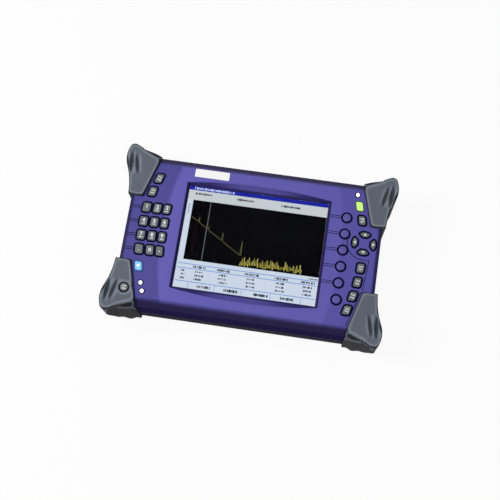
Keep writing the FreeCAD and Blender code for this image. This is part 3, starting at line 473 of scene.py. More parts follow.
# %% Window glass
WINDOW_HAZE = 0.02                      # roughness at the most
window_glass, glass = shader("window_glass")
glass.inputs["Base Color"].default_value = (1.0, 1.0, 1.0, 1.0)
glass.inputs["Transmission Weight"].default_value = 1.0
glass.inputs["Specular IOR Level"].default_value = 0.1
glass.inputs["IOR"].default_value = 1.06
tree = window_glass.node_tree
haze = add_node(tree, "TexNoise",
                {"Vector": add_node(tree, "TexCoord").outputs["Object"], "Scale": 90.0})
tree.links.new(ramp(tree, haze.outputs["Fac"], 0.0, 1.0, WINDOW_HAZE), glass.inputs["Roughness"])
print("window index", round(glass.inputs["IOR"].default_value, 2))

# %% [markdown]
# Most CAD nodes need no new shape, only their finish. A table pairs each of them with a material,
# and one loop puts it on. The rubber corners and the key caps are missing from the table, because
# new pieces take their place below.

# %% Finishes of the CAD nodes
FINISH = {
    "front_housing": shell_purple, "rear_housing": shell_charcoal, "shell_gasket": seal_rubber,
    "screen_window": window_glass, "lcd_module": steel_sheet, "lcd_bracket": steel_sheet,
    "key_boards": board_green, "main_board": board_green, "optical_module": case_aluminium,
    "optical_adapter": nickel, "optical_port_cover": cover_purple, "data_port_cover": cover_purple,
    "cover_pins": steel_sheet, "data_ports": nickel, "dc_jack": black_plastic,
    "connector_panel": black_plastic,
    "battery_pack": black_plastic, "battery_door": shell_charcoal, "tilt_stand": shell_charcoal,
    "stand_pins": steel_sheet, "label_plate": plate_white, "status_lights": light_white,
}
for node, material in FINISH.items():
    mesh = NODES[node].data
    mesh.materials.clear()
    mesh.materials.append(material)
print("finished nodes", len(FINISH))

# %% [markdown]
# The four corners are soft rubber with no sharp edge anywhere. Their CAD solids have the outline,
# the bevel and the finger grooves but crisp edges. A merged copy is remeshed to small even quads,
# and then each point is drawn towards the mean of its neighbours, which rounds every edge alike, as
# a rubber mould does.

# %% Soft copy of a solid
def relaxed(points, edges, free, passes):
    """p <- p + (mean of neighbours - p) / 2 for free points; whole arrays, one step per pass."""
    here, there = edges.ravel(), edges[:, ::-1].ravel()
    count = np.maximum(np.bincount(here, minlength=len(points)), 1)
    for _ in range(passes):
        mean = np.stack([np.bincount(here, points[there, axis], len(points)) / count
                         for axis in range(3)], axis=1)
        points = np.where(free[:, None], 0.5 * (points + mean), points)
    return points


def remeshed(node, voxel):
    """Even quads over a CAD solid: its doubles are merged, and a voxel remesh is applied."""
    mesh = bpy.data.meshes.new(node + "_merged")
    build = bmesh.new()
    build.from_mesh(NODES[node].data)
    bmesh.ops.remove_doubles(build, verts=build.verts, dist=1e-6)
    build.to_mesh(mesh)
    build.free()
    rough = in_scene(node + "_rough", mesh)
    remesh = rough.modifiers.new("remesh", "REMESH")
    remesh.mode = "VOXEL"
    remesh.voxel_size = voxel * MM
    soft = bpy.data.meshes.new_from_object(
        rough.evaluated_get(bpy.context.evaluated_depsgraph_get()))
    bpy.data.objects.remove(rough)
    return soft


# %% [markdown]
# Points that lie against the housing stay where they are, so the fit of the corner is kept. The
# foot of each flank has soft lobes: a cosine along the flank that fades out upwards. The hollows
# are measured before the lobes are cut, and the painted shade and highlights they give count in
# full only near the top, fading to a small share lower down.

# %% Rubber corners
CORNERS = ("bumper_upper_right", "bumper_upper_left", "bumper_lower_left", "bumper_lower_right")
VOXEL, ROUND_PASSES, HOLLOW_PASSES = 0.6, 8, 40
LAP_CLEAR, WALL_CLEAR = 0.4, 0.7        # points farther off the housing than this may move
LOBE_NOTCH, LOBE_PITCH, LOBE_HIGH, LOBE_DEPTH = 113.0, 12.0, 18.0, 0.8
LOBE_FROM, LOBE_BLEND = 1.0, 2.0        # the lobes set in this far off the side wall
# painted shade and highlights fade below this height, over this rise, down to this least share
PAINTED_LIGHT_LOW, PAINTED_LIGHT_RISE, PAINTED_LIGHT_LEAST = 38.0, 14.0, 0.12
body_low, body_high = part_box("rear_housing")


def softened(node, material):
    """Rubber copy of a CAD solid: relaxed away from the housing, lobed at the foot, and given the
    hollow measure for its painted shade and highlights.
    """
    soft = remeshed(node, VOXEL)
    points = read_array(soft.vertices, "co", 3).astype(float) / MM
    edges = read_array(soft.edges, "vertices", 2, np.int32)
    over_face = points[:, 2] > FACE_Z + LAP_CLEAR
    beside = np.abs(points[:, 0]) > body_high[0] / MM + WALL_CLEAR
    beyond = np.abs(points[:, 1]) > body_high[1] / MM + WALL_CLEAR
    points = relaxed(points, edges, over_face | beside | beyond, ROUND_PASSES)
    plain = points.copy()
    ripple = np.cos((np.abs(points[:, 0]) - LOBE_NOTCH) * 2.0 * np.pi / LOBE_PITCH)
    fade = np.clip(1.0 - points[:, 2] / LOBE_HIGH, 0.0, 1.0) ** 2
    inward = np.clip((np.abs(points[:, 1]) - body_high[1] / MM - LOBE_FROM) / LOBE_BLEND, 0.0, 1.0)
    points[:, 1] -= np.sign(points[:, 1]) * LOBE_DEPTH * (1.0 + ripple) * fade * inward
    soft.vertices.foreach_set("co", (points * MM).ravel())
    soft.materials.clear()
    soft.materials.append(material)
    soft.shade_smooth()
    soft.update()
    spread = relaxed(plain, edges, np.full(len(points), True), HOLLOW_PASSES)
    hollow = ((spread - plain) * read_array(soft.vertices, "normal", 3)).sum(1)
    # painted shade and highlights count in full only near the top
    hollow *= np.clip((points[:, 2] - PAINTED_LIGHT_LOW) / PAINTED_LIGHT_RISE, PAINTED_LIGHT_LEAST, 1.0)
    form_light = soft.attributes.new("hollow", "FLOAT", "POINT")
    form_light.data.foreach_set("value", hollow.astype(np.float32))
    print(node, "hollow from", hollow.min().round(2), "to", hollow.max().round(2), "mm")
    return in_scene(node + "_rubber", soft)


for node in CORNERS:
    corner = softened(node, corner_rubber)
    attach(corner, ROOT)
    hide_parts(node)
    print(corner.name, len(corner.data.polygons), "faces")

# %% [markdown]
# A key cap is a pillow: straight sides, a rounded edge and a slightly crowned top. Its outline is
# read from the top of the CAD cap. Pushing each corner of that outline out along every direction
# that it faces rounds the corners by the push, which one line of numpy does for all directions.

# %% Key outlines
DIRECTIONS = 72
ARROW_INSET, KEY_INSET = 0.4, 0.35      # from the side wall in to the corners that are pushed out
angles = np.linspace(0.0, 2.0 * np.pi, DIRECTIONS, endpoint=False)
compass = np.stack([np.cos(angles), np.sin(angles)], axis=1)


def centre_of(points):
    """Halfway between the lowest and the highest value of each column."""
    return (points.min(0) + points.max(0)) / 2


def key_outline(node):
    """Corners of the cap's top, how far they stand inside its side wall, and the top's height."""
    points = node_points(node)
    top = points[:, 2].max()
    corners = np.unique(points[points[:, 2] > top - 0.01][:, :2].round(3), axis=0)
    middle = centre_of(corners)
    spokes = corners - middle
    length = np.hypot(*spokes.T)
    if node.startswith(("soft_key", "power")):
        return middle[None, :], length.max(), top
    if node.startswith("arrow"):
        return middle + spokes * (1.0 - ARROW_INSET / length[:, None]), ARROW_INSET, top
    return corners, KEY_INSET, top


def pushed(corners, push):
    """For each direction, the corner that lies farthest that way, moved by push."""
    farthest = np.argmax(compass @ corners.T, axis=1)
    return corners[farthest] + push * compass


def face_height(x, y):
    """Height of the housing's face: flat, then falling as a cone outside the crown arc."""
    beyond = np.hypot(np.abs(x) + CROWN_R - CROWN_REACH, y) - CROWN_R
    return FACE_Z - np.maximum(0.0, beyond) * CROWN_FALL


def stacked(corners, rows):
    """Rings of points: each row is (push, scale about the middle, height)."""
    middle = centre_of(corners)
    return np.stack([np.column_stack([middle + scale * (pushed(corners, push) - middle),
                                      np.full(DIRECTIONS, height)])
                     for push, scale, height in rows])


print("middle of key_5", key_outline("key_5")[0].mean(0).round(2), "mm")

# %% [markdown]
# A real cap sits on a wider flange that keeps it from falling out of its opening, with a plunger
# below that reaches down to the key board. One stack of rings makes all of it: the rows go up from
# the plunger, out and back over the flange, up the side, round the edge and in over the crown. Both
# ends are closed. Rings that fall instead of rising would turn the faces inwards, so a flip of all
# faces is there for them.

# %% Key caps
KEYS = [name for name in NODES if name.startswith(("key_", "soft_key", "side_key", "arrow_"))
        and name != "key_boards"]
KEYS += ["upper_function_key", "lower_function_key", "back_light_key", "start_key", "menu_key",
         "power_button"]
SHELF_DOWN, FLANGE_WIDE, FLANGE_TALL, PLUNGER_SHARE = 4.25, 0.6, 1.0, 0.3
EDGE_ROUND = 0.45
CROWN_ROWS = ((0.97, 0.01), (0.7, 0.05), (0.3, 0.09))     # share of the outline, and rise in mm
KEY_COLOURS = {"start_key": key_green, "back_light_key": key_blue}


def closed_stack(rows, columns, flip=False):
    """Faces of a stack of rings with one face over each end; flip turns them all round."""
    faces = grid_faces(rows, columns, wrap_columns=True)
    last = (rows - 1) * columns
    faces += [list(range(last, last + columns)), list(range(columns))[::-1]]
    return [face[::-1] for face in faces] if flip else faces


def key_piece(node):
    """Pillow cap with its flange and plunger: rows of one outline, pushed, scaled and raised."""
    corners, side, top = key_outline(node)
    low = node_points(node)[:, 2].min()
    shelf, wide = FACE_Z - SHELF_DOWN, side + FLANGE_WIDE
    rows = [(side, PLUNGER_SHARE, low), (side, PLUNGER_SHARE, shelf - FLANGE_TALL),
            (wide, 1.0, shelf - FLANGE_TALL), (wide, 1.0, shelf), (side, 1.0, shelf),
            (side, 1.0, top - EDGE_ROUND)]
    for turn in np.radians([25.0, 50.0, 75.0]):
        rows.append((side - 0.8 * EDGE_ROUND * (1 - math.cos(turn)), 1.0,
                     top - EDGE_ROUND * (1 - math.sin(turn))))
    rows += [(0.5 * side, scale, top + rise) for scale, rise in CROWN_ROWS]
    colour = KEY_COLOURS.get(node, key_purple if node.startswith("soft_key") else key_grey)
    faces = closed_stack(len(rows), DIRECTIONS)
    return make_piece(node + "_cap", [(stacked(corners, rows), faces, colour)], node)


for node in KEYS:
    cap = key_piece(node)
    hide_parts(node)
print("key caps", len(KEYS))

# %% [markdown]
# Round every key lies a dark, slightly raised surround, with a slimmer one round the green key and
# each status light. Its section is a small closed loop, carried round the outline of the key and
# laid on the face. The power button stands in a well of the rubber, so its surround lies there.

# %% Surrounds
RING_SECTION = ((0.12, -1.4), (0.12, 0.08), (0.26, 0.2), (1.5, 0.22), (1.74, 0.04), (1.74, -0.3))
SLIM_SECTION = ((0.12, -1.4), (0.12, 0.08), (0.26, 0.2), (0.95, 0.2), (1.15, 0.02), (1.15, -0.3))
LIGHT_SECTION = ((-0.35, -0.6), (-0.35, 0.26), (-0.2, 0.34), (0.6, 0.3), (0.8, 0.04), (0.8, -0.3))
LIGHT_RADIUS, LIGHT_HIGH, WELL_DOWN = 1.97, 50.0, 3.3     # the heads of the lights lie over 50 mm
LIGHT_ZONES = ((-1, -54.0, -48.0), (-1, -62.0, -55.0), (1, 50.0, 70.0))   # side, from and to in Y


def surround(corners, side, section, base=None, material=None):
    """Closed band: each section point is (distance outside the side wall, height over the face)."""
    rings = []
    for out, rise in section:
        plan = pushed(corners, side + out)
        level = face_height(*plan.T) if base is None else np.full(DIRECTIONS, base)
        rings.append(np.column_stack([plan, level + rise]))
    faces = grid_faces(len(section), DIRECTIONS, wrap_columns=True, wrap_rows=True)
    return np.stack(rings)[::-1], faces, material or surround_rubber


power_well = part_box("bumper_lower_left")[1][2] / MM - WELL_DOWN
rims = {"start_key": moulded("rim_green", (44, 74, 50), roughness=0.45),
        "back_light_key": moulded("rim_blue", (16, 52, 122), roughness=0.45)}
bands = []
for node in KEYS:
    corners, side, top = key_outline(node)
    section = SLIM_SECTION if node == "start_key" else RING_SECTION
    base = power_well if node == "power_button" else None
    bands.append(surround(corners, side, section, base, rims.get(node)))
lights = node_points("status_lights")
lights = lights[lights[:, 2] > LIGHT_HIGH]
for sign, low, high in LIGHT_ZONES:
    spot = lights[(np.sign(lights[:, 0]) == sign) & (low < lights[:, 1]) & (lights[:, 1] < high)]
    bands.append(surround(centre_of(spot)[None, :2], LIGHT_RADIUS, LIGHT_SECTION))
surrounds = make_piece("key_surrounds", bands, ROOT)
print("surrounds", len(bands))

# %% [markdown]
# Lines on the face are thin coats of paint. Each is a narrow ribbon: a path of points in plan that
# moves half its width to both sides, laid a tenth of a millimetre over the crowned face, because
# two surfaces at the same height would flicker.

# %% Ribbons on the face
def both_sides(path, width):
    """Two edges of a strip: each point of the path moves half the width, square to its heading."""
    path = np.asarray(path, float)
    ahead = np.gradient(path, axis=0)
    ahead /= np.hypot(*ahead.T)[:, None]
    side = np.column_stack([-ahead[:, 1], ahead[:, 0]]) * width / 2
    return np.stack([path - side, path + side])


def ribbon(path, width, lift, material):
    """Flat strip along a path, at the height of the face plus the lift."""
    rows = both_sides(path, width)
    level = face_height(rows[..., 0], rows[..., 1]) + lift
    points = np.concatenate([rows, level[..., None]], axis=-1)
    return points, grid_faces(2, len(path)), material


def straight(x0, y0, x1, y1, steps=9):
    """Evenly spaced points from one end to the other."""
    return np.column_stack([np.linspace(x0, x1, steps), np.linspace(y0, y1, steps)])


def middle_of(node):
    """Middle of a node in plan, in mm."""
    low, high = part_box(node)
    return np.array([low[0] + high[0], low[1] + high[1]]) / 2 / MM


# %% [markdown]
# Twin lines lead from the screen to the soft keys and from the end of the body to the number rows.
# Short bars join the number keys, and an arc with a tail runs round the arrow pad. All of them lie
# in one mesh, since they are one coat of paint.

# %% Painted lines
LINE_LIFT, LINE_WIDE = 0.1, 0.6
TWIN_STEP, TWIN_WIDE, TWIN_FROM, TWIN_TO = 1.0, 0.55, 0.8, 4.8    # soft keys, from the screen edge
ROW_STEP, ROW_WIDE, ROW_FROM, ROW_TO = 0.95, 0.8, 2.2, 4.6        # number rows, from the body's end
LINK_WIDE, LINK_FROM, LINK_TO = 1.3, 4.2, 4.0                     # between number keys
PAD_R, PAD_FROM, PAD_TO = 15.55, 172.0, 270.0                     # arc round the arrow pad
PAD_TAIL = (109.2, (106.4, -30.0), (105.4, -31.0), (95.6, -63.6)) # its corner in X, then points
ROWS = (("key_1", "key_2", "key_3"), ("key_4", "key_5", "key_6"), ("key_7", "key_8", "key_9"),
        ("key_point", "key_0", "key_sign"))


paths = []
screen_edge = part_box("screen_window")[1][0] / MM - TWIN_FROM
for number in range(1, 6):
    x, y = middle_of(f"soft_key_{number}")
    for step in (-TWIN_STEP, TWIN_STEP):
        paths.append((straight(screen_edge, y + step, x - TWIN_TO, y + step), TWIN_WIDE))
side_edge = body_low[0] / MM + ROW_FROM
for row in ROWS:
    centres = np.array([middle_of(node) for node in row])
    y = centres[:, 1].mean()
    for step in (-ROW_STEP, ROW_STEP):
        paths.append((straight(side_edge, y + step, centres[0, 0] - ROW_TO, y + step), ROW_WIDE))
    for left, right in zip(centres[:-1, 0], centres[1:, 0]):
        paths.append((straight(left + LINK_FROM, y, right - LINK_TO, y), LINK_WIDE))
pad = centre_of(np.array([middle_of(f"arrow_{way}") for way in ("up", "down", "left", "right")]))
turn = np.linspace(math.radians(PAD_FROM), math.radians(PAD_TO), 40)
foot = pad[1] - PAD_R
corner_x, bend, restart, end = PAD_TAIL
paths += [(pad + PAD_R * np.column_stack([np.cos(turn), np.sin(turn)]), LINE_WIDE),
          (straight(pad[0], foot, corner_x, foot), LINE_WIDE),
          (straight(corner_x, foot, *bend), LINE_WIDE), (straight(*restart, *end), LINE_WIDE)]
line_paint = moulded("line_paint", (20, 16, 52), roughness=0.6, specular=0.2)
lines = make_piece("painted_lines",
                   [ribbon(path, width, LINE_LIFT, line_paint) for path, width in paths], ROOT)
print("painted lines", len(paths))

# %% [markdown]
# Marks on keys and screen are flat. Digits are text, made into flat meshes. Where the real thing
# carries small words, a few short strokes stand for them, with widths and gaps drawn at random from
# a fixed seed, so that each render draws the same ones.

# %% Marks as flat meshes
DIGIT_SIZE, DIGIT_UP, DIGIT_BOLD = 4.8, 0.9, 0.03         # bold: outset as a share of the size
WORD_GAPS, WORD_WIDTHS, WORD_HEIGHTS, WORD_MOST = (0.22, 0.42), (0.35, 0.75), (0.55, 1.0), 40
WORD_LEADING = 1.55


def text_points(body, size):
    """Flat mesh of a text in mm about its own middle: points and faces."""
    curve = bpy.data.curves.new("legend_" + body, "FONT")
    curve.body = body
    curve.size = size
    curve.align_x = "CENTER"
    curve.align_y = "CENTER"
    curve.resolution_u = 3
    curve.offset = DIGIT_BOLD * size
    holder = in_scene("legend_" + body, curve)
    mesh = bpy.data.meshes.new_from_object(
        holder.evaluated_get(bpy.context.evaluated_depsgraph_get()))
    faces = [list(face.vertices) for face in mesh.polygons]
    bpy.data.objects.remove(holder)
    return read_array(mesh.vertices, "co", 3)[:, :2].astype(float), faces


def rectangles(boxes):
    """Flat quads from rows of (x0, x1, y0, y1)."""
    x0, x1, y0, y1 = np.asarray(boxes, float).T
    points = np.stack([np.column_stack([x0, y0]), np.column_stack([x1, y0]),
                       np.column_stack([x1, y1]), np.column_stack([x0, y1])], axis=1)
    return points.reshape(-1, 2), np.arange(4 * len(x0)).reshape(-1, 4).tolist()


def small_words(width, rows, height, seed):
    """Rows of short upright strokes that read as small print: widths and gaps drawn at random."""
    draw = np.random.default_rng(seed)
    boxes = []
    for row in range(rows):
        y = (0.5 * (rows - 1) - row) * height * WORD_LEADING
        gaps = draw.uniform(*WORD_GAPS, WORD_MOST)
        widths = draw.uniform(*WORD_WIDTHS, WORD_MOST)
        ends = np.cumsum(gaps + widths)
        keep = ends < width
        left = ends[keep] - widths[keep] - ends[keep][-1] / 2
        tall = height * draw.uniform(*WORD_HEIGHTS, keep.sum())
        foot = y - height / 2 + (height - tall) * draw.integers(0, 2, keep.sum())
        boxes.append(np.column_stack([left, left + widths[keep], foot, foot + tall]))
    return rectangles(np.concatenate(boxes))


# %% [markdown]
# Legends are printed in white on the caps. Each one leans as its key does, lies just over the crown
# of the cap, and rides on the key, so it goes down with it. The arrow keys carry triangles, and the
# blue key carries a lit disc.

# %% Key legends
LEGEND_LIFT = 0.12
NUMBER_LEANS = (-0.09, -0.02, 0.02, 0.09)
WORD_KEYS = {"upper_function_key": -0.27, "lower_function_key": -0.18, "menu_key": 0.19,
             "side_key_1": -0.06, "side_key_2": -0.13, "side_key_3": -0.23, "side_key_4": -0.25,
             "power_button": 0.0}
TRIANGLE = np.array([(-1.5, -1.0), (1.5, -1.0), (0.0, 1.4)])
DISC_R = 1.3


def placed(flat, centre, lean, height):
    """Points moved to a key: turned by its lean, moved to its middle, at a height."""
    turned = flat @ np.array([[math.cos(lean), math.sin(lean)], [-math.sin(lean), math.cos(lean)]])
    return np.column_stack([turned + centre, np.full(len(flat), height)])


def legend(node, parts, lean=0.0, material=None):
    """Printed piece on a key from flat parts: (points, faces, x, y)."""
    corners, side, top = key_outline(node)
    pieces = [(placed(flat + np.array([x, y]), centre_of(corners), lean, top + LEGEND_LIFT), faces,
               material or legend_white) for flat, faces, x, y in parts]
    piece = make_piece(node + "_legend", pieces, node)
    return piece


count = 0
for row, lean in zip(ROWS, NUMBER_LEANS):
    for node in row:
        digit = {"key_point": ".", "key_sign": "-"}.get(node, node[4:])
        parts = [(*text_points(digit, DIGIT_SIZE), 0.0, DIGIT_UP if digit not in ".-0" else 0.0)]
        if digit not in ".-10":
            parts.append((*small_words(3.6, 1, 1.4, count), 0.0, -2.2))
        legend(node, parts, lean)
        count += 1
for node, lean in WORD_KEYS.items():
    legend(node, [(*small_words(4.3, 2, 1.6, 50 + count), 0.0, 0.0)], lean)
    count += 1
for way, turns in (("up", 0.0), ("left", 0.5), ("down", 1.0), ("right", -0.5)):
    legend(f"arrow_{way}", [(TRIANGLE, [[0, 1, 2]], 0.0, 0.0)], turns * math.pi)
legend("back_light_key", [(DISC_R * compass, [list(range(DIRECTIONS))], -0.2, 0.3)],
       material=glow_white)
print("legends", count + 5)

# %% [markdown]
# The picture on the display is a plot of back-scattered light with its heads and tables. A texture
# would need an image file, so it is built from thin sheets and strips under the window instead,
# each with its own glow. Small strokes stand for the print.

# %% Glow of the display
GLOWS = {
    "pale": (206, 218, 234), "cell": (196, 210, 228), "title": (27, 37, 158), "black": (3, 3, 5),
    "head": (200, 208, 213), "print": (58, 66, 84), "light": (190, 204, 240),
    "rule": (84, 134, 212), "trace": (98, 96, 56), "noise": (226, 218, 104),
    "cursor": (120, 124, 122), "marker": (40, 10, 8),
}
LEVEL = 0.02                            # height of one sheet of the stack
SHEET_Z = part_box("lcd_module")[1][2] / MM + LEVEL
half_w, half_h = np.array([130.9, 98.3]) / 2
TITLE_FOOT, HEAD_FOOT, PLOT_FOOT, PLOT_INSET = 45.4, 35.8, -22.0, 5.4
window_middle = middle_of("screen_window")


def glowing(name, card):
    """Display colour: gives off its own light over a dark base, with a faint drift."""
    material = moulded(name, (4, 4, 6), roughness=0.6, drift=0.0, specular=0.0)
    tree = material.node_tree
    colour = srgb(*card)
    tint = add_node(tree, "Group", {"Light": colour, "Dark": darker(colour, 0.94)}, node_tree=GRAIN)
    emission = tree.nodes["Principled BSDF"].inputs
    tree.links.new(tint.outputs["Color"], emission["Emission Color"])
    emission["Emission Strength"].default_value = 1.0
    return material


glow = {name: glowing("picture_" + name, card) for name, card in GLOWS.items()}


def laid(flat, faces, level, colour):
    """Flat points about the middle of the picture, laid at a level of the stack."""
    points = np.column_stack([flat + window_middle, np.full(len(flat), SHEET_Z + LEVEL * level)])
    return points, faces, glow[colour]


def sheet(boxes, level, colour):
    """Flat boxes of the picture, from rows of (x0, x1, y0, y1)."""
    return laid(*rectangles(boxes), level, colour)


def stroke(path, width, level, colour):
    """Line of the picture as a strip of quads along a path."""
    return laid(both_sides(path, width).reshape(-1, 2), grid_faces(2, len(path)), level, colour)


def print_marks(x0, x1, y, height, seed, fill=0.6):
    """Boxes of small print between x0 and x1 on a line."""
    draw = np.random.default_rng(seed)
    steps = draw.uniform(0.95, 1.9, int((x1 - x0) / 1.2))
    left = x0 + np.cumsum(steps)
    left = left[left < x1 - 0.5]
    wide = draw.uniform(0.55, 1.15, len(left)) * fill / 0.6
    tall = height * draw.uniform(0.5, 1.0, len(left))
    return np.column_stack([left, left + wide, y - tall / 2, y + tall / 2])


print("glows", len(glow), "from z", round(SHEET_Z, 2), "mm up")

# %% [markdown]
# The first sheets are the ground of the picture, the title bar, the header and the black plot, each
# one level over what it covers. Print in the title is light, and in the header it is dark.

# %% Sheets of the picture
stack = [sheet([(-half_w, half_w, -half_h, half_h)], 0, "pale"),
         sheet([(-half_w, half_w, TITLE_FOOT, half_h)], 1, "title"),
         sheet([(-half_w, half_w, HEAD_FOOT, TITLE_FOOT)], 1, "head"),
         sheet([(-half_w + PLOT_INSET, half_w, PLOT_FOOT, HEAD_FOOT)], 1, "black"),
         sheet(print_marks(-62, -24, 47.3, 2.4, 1, 0.8), 2, "light")]
for number, (x0, x1) in enumerate(((-61, -43), (-21, -4), (21, 40))):
    marks = print_marks(x0, x1, 42.2 - 0.5 * number, 2.6, 10 + number, 0.75)
    stack.append(sheet(marks, 2, "print"))
stack.append(sheet([(-half_w + 1.6, -half_w + 3.2, y, y + 0.7) for y in (30.0, 27.6, 25.2, 22.8)],
                   2, "print"))
print("sheets so far", len(stack))

# %% [markdown]
# The curve is a sum of what the instrument measures: a straight fall, a narrow bell for each joint
# of the fibre, and a little noise. Past the end of the fibre only noise is left, which swings up
# and down from one point to the next, so its low and its high points are drawn separately.

# %% Curve of the plot
TRACE_LEFT, TRACE_END, TRACE_TOP, TRACE_FALL, TRACE_NOISE = -59.0, -8.0, 19.5, 0.62, 0.12
PEAKS = ((-51.5, 5.0, 0.35), (-41.5, 3.6, 0.3), (-27.5, 8.4, 0.4), (-8.6, 14.0, 0.3))
NOISE_END, NOISE_POINTS, NOISE_LOW, NOISE_HIGH = 49.0, 76, (-21.4, -18.6), (-17.4, -11.4)

draw = np.random.default_rng(8249)
run = np.linspace(TRACE_LEFT, TRACE_END, 260)
fall = TRACE_TOP - TRACE_FALL * (run - TRACE_LEFT) + draw.normal(0.0, TRACE_NOISE, len(run))
for place, tall, wide in PEAKS:
    fall += tall * np.exp(-((run - place) / wide) ** 2)
far = np.linspace(TRACE_END, NOISE_END, NOISE_POINTS)
swing = np.where(np.arange(NOISE_POINTS) % 2 == 0, draw.uniform(*NOISE_LOW, NOISE_POINTS),
                 draw.uniform(*NOISE_HIGH, NOISE_POINTS))
stack += [stroke(np.column_stack([run, fall]), 0.45, 2, "trace"),
          stroke(np.column_stack([far, swing]), 0.4, 2, "noise"),
          sheet(print_marks(54.0, 64.5, -24.2, 1.5, 5), 2, "print"),
          stroke(straight(-43.3, -21.8, -43.3, 35.6), 0.48, 3, "cursor"),
          stroke(straight(-53.4, -21.8, -53.4, 16.0), 0.5, 3, "marker")]
print("curve from", round(fall[0], 1), "to", round(swing.min(), 1), "mm about the middle")

# %% [markdown]
# Below the plot lies a table of three lines under a head, and then a row of labels for the keys.
# Rules and cell edges are thin boxes, and each entry is a run of small print with a seed of its
# own, so that no two entries look the same and every render draws the same ones.

# %% Table of the display
COLUMNS = (-44.0, -22.0, 4.0, 31.0, 56.0)
TABLE_TOP, TABLE_FOOT = -26.0, -42.6

stack.append(sheet([(-half_w + 1.0, half_w - 1.0, y - 0.3, y + 0.3)
                    for y in (TABLE_TOP, -30.2, TABLE_FOOT)], 2, "rule"))
stack.append(sheet([(x, x + 0.3, TABLE_FOOT, TABLE_TOP) for x in (-50.0, -35.0, -8.5, 18.0, 45.0)],
                   2, "cell"))
for number, x in enumerate(COLUMNS):
    stack.append(sheet(print_marks(x - 7.0, x + 6.5, -28.1, 2.6, 20 + number, 0.75), 3, "print"))
for line, y in enumerate((-32.6, -36.1, -39.6)):
    stack.append(sheet(print_marks(-61.5, -56.5, y, 2.1, 30 + line), 3, "print"))
    for number, x in enumerate(COLUMNS):
        seed = 40 + 7 * line + number
        stack.append(sheet(print_marks(x - 4.8, x + 4.8, y, 2.1, seed, 0.65), 3, "print"))
for number, x in enumerate((-38.0, -13.0, 14.0, 39.0)):
    stack.append(sheet(print_marks(x - 7.0, x + 7.0, -46.0, 3.0, 70 + number, 0.85), 3, "print"))
stack.append(sheet([(x, x + 0.4, -48.4, -43.6) for x in (-52.0, -27.5, -2.5, 24.0, 52.0)],
                   2, "rule"))
picture = make_piece("display_picture", stack, ROOT)
print("picture parts", len(stack))

# %% [markdown]
# Behind the two lids, the fibre adapter has a screw thread on its barrel, broken by the key slot,
# and each data socket has four gilt contacts under its tongue. The thread is one surface: its
# radius depends on the place along the barrel less the turn, so the crest climbs as a true helix.

# %% Thread and contacts
THREAD_PITCH, THREAD_DEPTH, THREAD_ROOT, THREAD_WALL = 0.8, 0.34, 4.0, 0.4
THREAD_FROM, THREAD_TO, KEY_SLOT = 5.6, 0.3, 0.3    # back from the barrel's end; half angle
SOCKET_HALF, CONTACT_STEPS, CONTACT_HALF = 6.8, (-3.5, -1.0, 1.0, 3.5), 0.55
CONTACT_DEEP, CONTACT_FRONT, CONTACT_LOW, CONTACT_HIGH = 8.0, 1.5, 3.15, 3.35


def thread_sleeve(x, z, y_low, y_high, material):
    """r = root + depth * triangle wave of (y / pitch - turn); a sleeve closed round its section."""
    turn = np.linspace(math.radians(90) + KEY_SLOT, math.radians(450) - KEY_SLOT, 97)[:, None]
    place = np.linspace(y_low, y_high, 53)[None, :]
    phase = (place / THREAD_PITCH - turn / (2 * np.pi)) % 1.0
    crest = THREAD_ROOT + THREAD_DEPTH * (1.0 - np.abs(2.0 * phase - 1.0))
    inner = np.full_like(crest, THREAD_ROOT - THREAD_WALL)
    reach = np.concatenate([crest, inner[:, ::-1]], axis=1)
    along = np.concatenate([place, place[:, ::-1]], axis=1) + 0.0 * turn
    points = np.stack([x + reach * np.cos(turn), along, z + reach * np.sin(turn)], axis=-1)
    return points, closed_stack(*points.shape[:2]), material


def block(x0, x1, y0, y1, z0, z1, material):
    """Box with its faces outward."""
    points = [(x, y, z) for z in (z0, z1) for x, y in ((x0, y0), (x1, y0), (x1, y1), (x0, y1))]
    faces = [[3, 2, 1, 0], [4, 5, 6, 7], [0, 1, 5, 4], [1, 2, 6, 5], [2, 3, 7, 6], [3, 0, 4, 7]]
    return points, faces, material


adapter = np.array([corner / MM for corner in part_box("optical_adapter")])
barrel_x, _, barrel_z = centre_of(adapter)
thread_low, thread_high = adapter[1, 1] - THREAD_FROM, adapter[1, 1] - THREAD_TO
thread = make_piece("adapter_thread",
                    [thread_sleeve(barrel_x, barrel_z, thread_low, thread_high, nickel)], ROOT)
gilt = moulded("gilt", (214, 170, 84), roughness=0.25, metallic=1.0)
ports_low, ports_high = (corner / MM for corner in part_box("data_ports"))
strips = [block(middle + step - CONTACT_HALF, middle + step + CONTACT_HALF,
                ports_high[1] - CONTACT_DEEP, ports_high[1] - CONTACT_FRONT,
                ports_low[2] + CONTACT_LOW, ports_low[2] + CONTACT_HIGH, gilt)
          for middle in (ports_low[0] + SOCKET_HALF, ports_high[0] - SOCKET_HALF)
          for step in CONTACT_STEPS]
make_piece("socket_contacts", strips, ROOT)
print("thread from", round(thread_low, 2), "to", round(thread_high, 2), "mm;",
      len(strips), "contacts")

# %% [markdown]
# Screws hold the back: six long ones in wells, and two short ones on the battery door. The head is
# a profile turned about its axis, with a six-sided socket whose ring simply has six corners.

# %% Screws
WELL_SCREW, DOOR_SCREW = (3.1, 2.7, 2.2), (1.05, 2.1, 0.95)     # seat, radius and height
HEAD_PROFILE = ((0.6, 0.0), (1.0, 0.0), (1.0, -0.45), (0.94, -0.8), (0.8, -1.0))
SOCKET_PROFILE = (-1.0, -0.35)
SOCKET_SHARE, SOCKET_TIP, TIP_DOWN = 0.5, 0.02, -0.2
REAR_Z = body_low[2] / MM


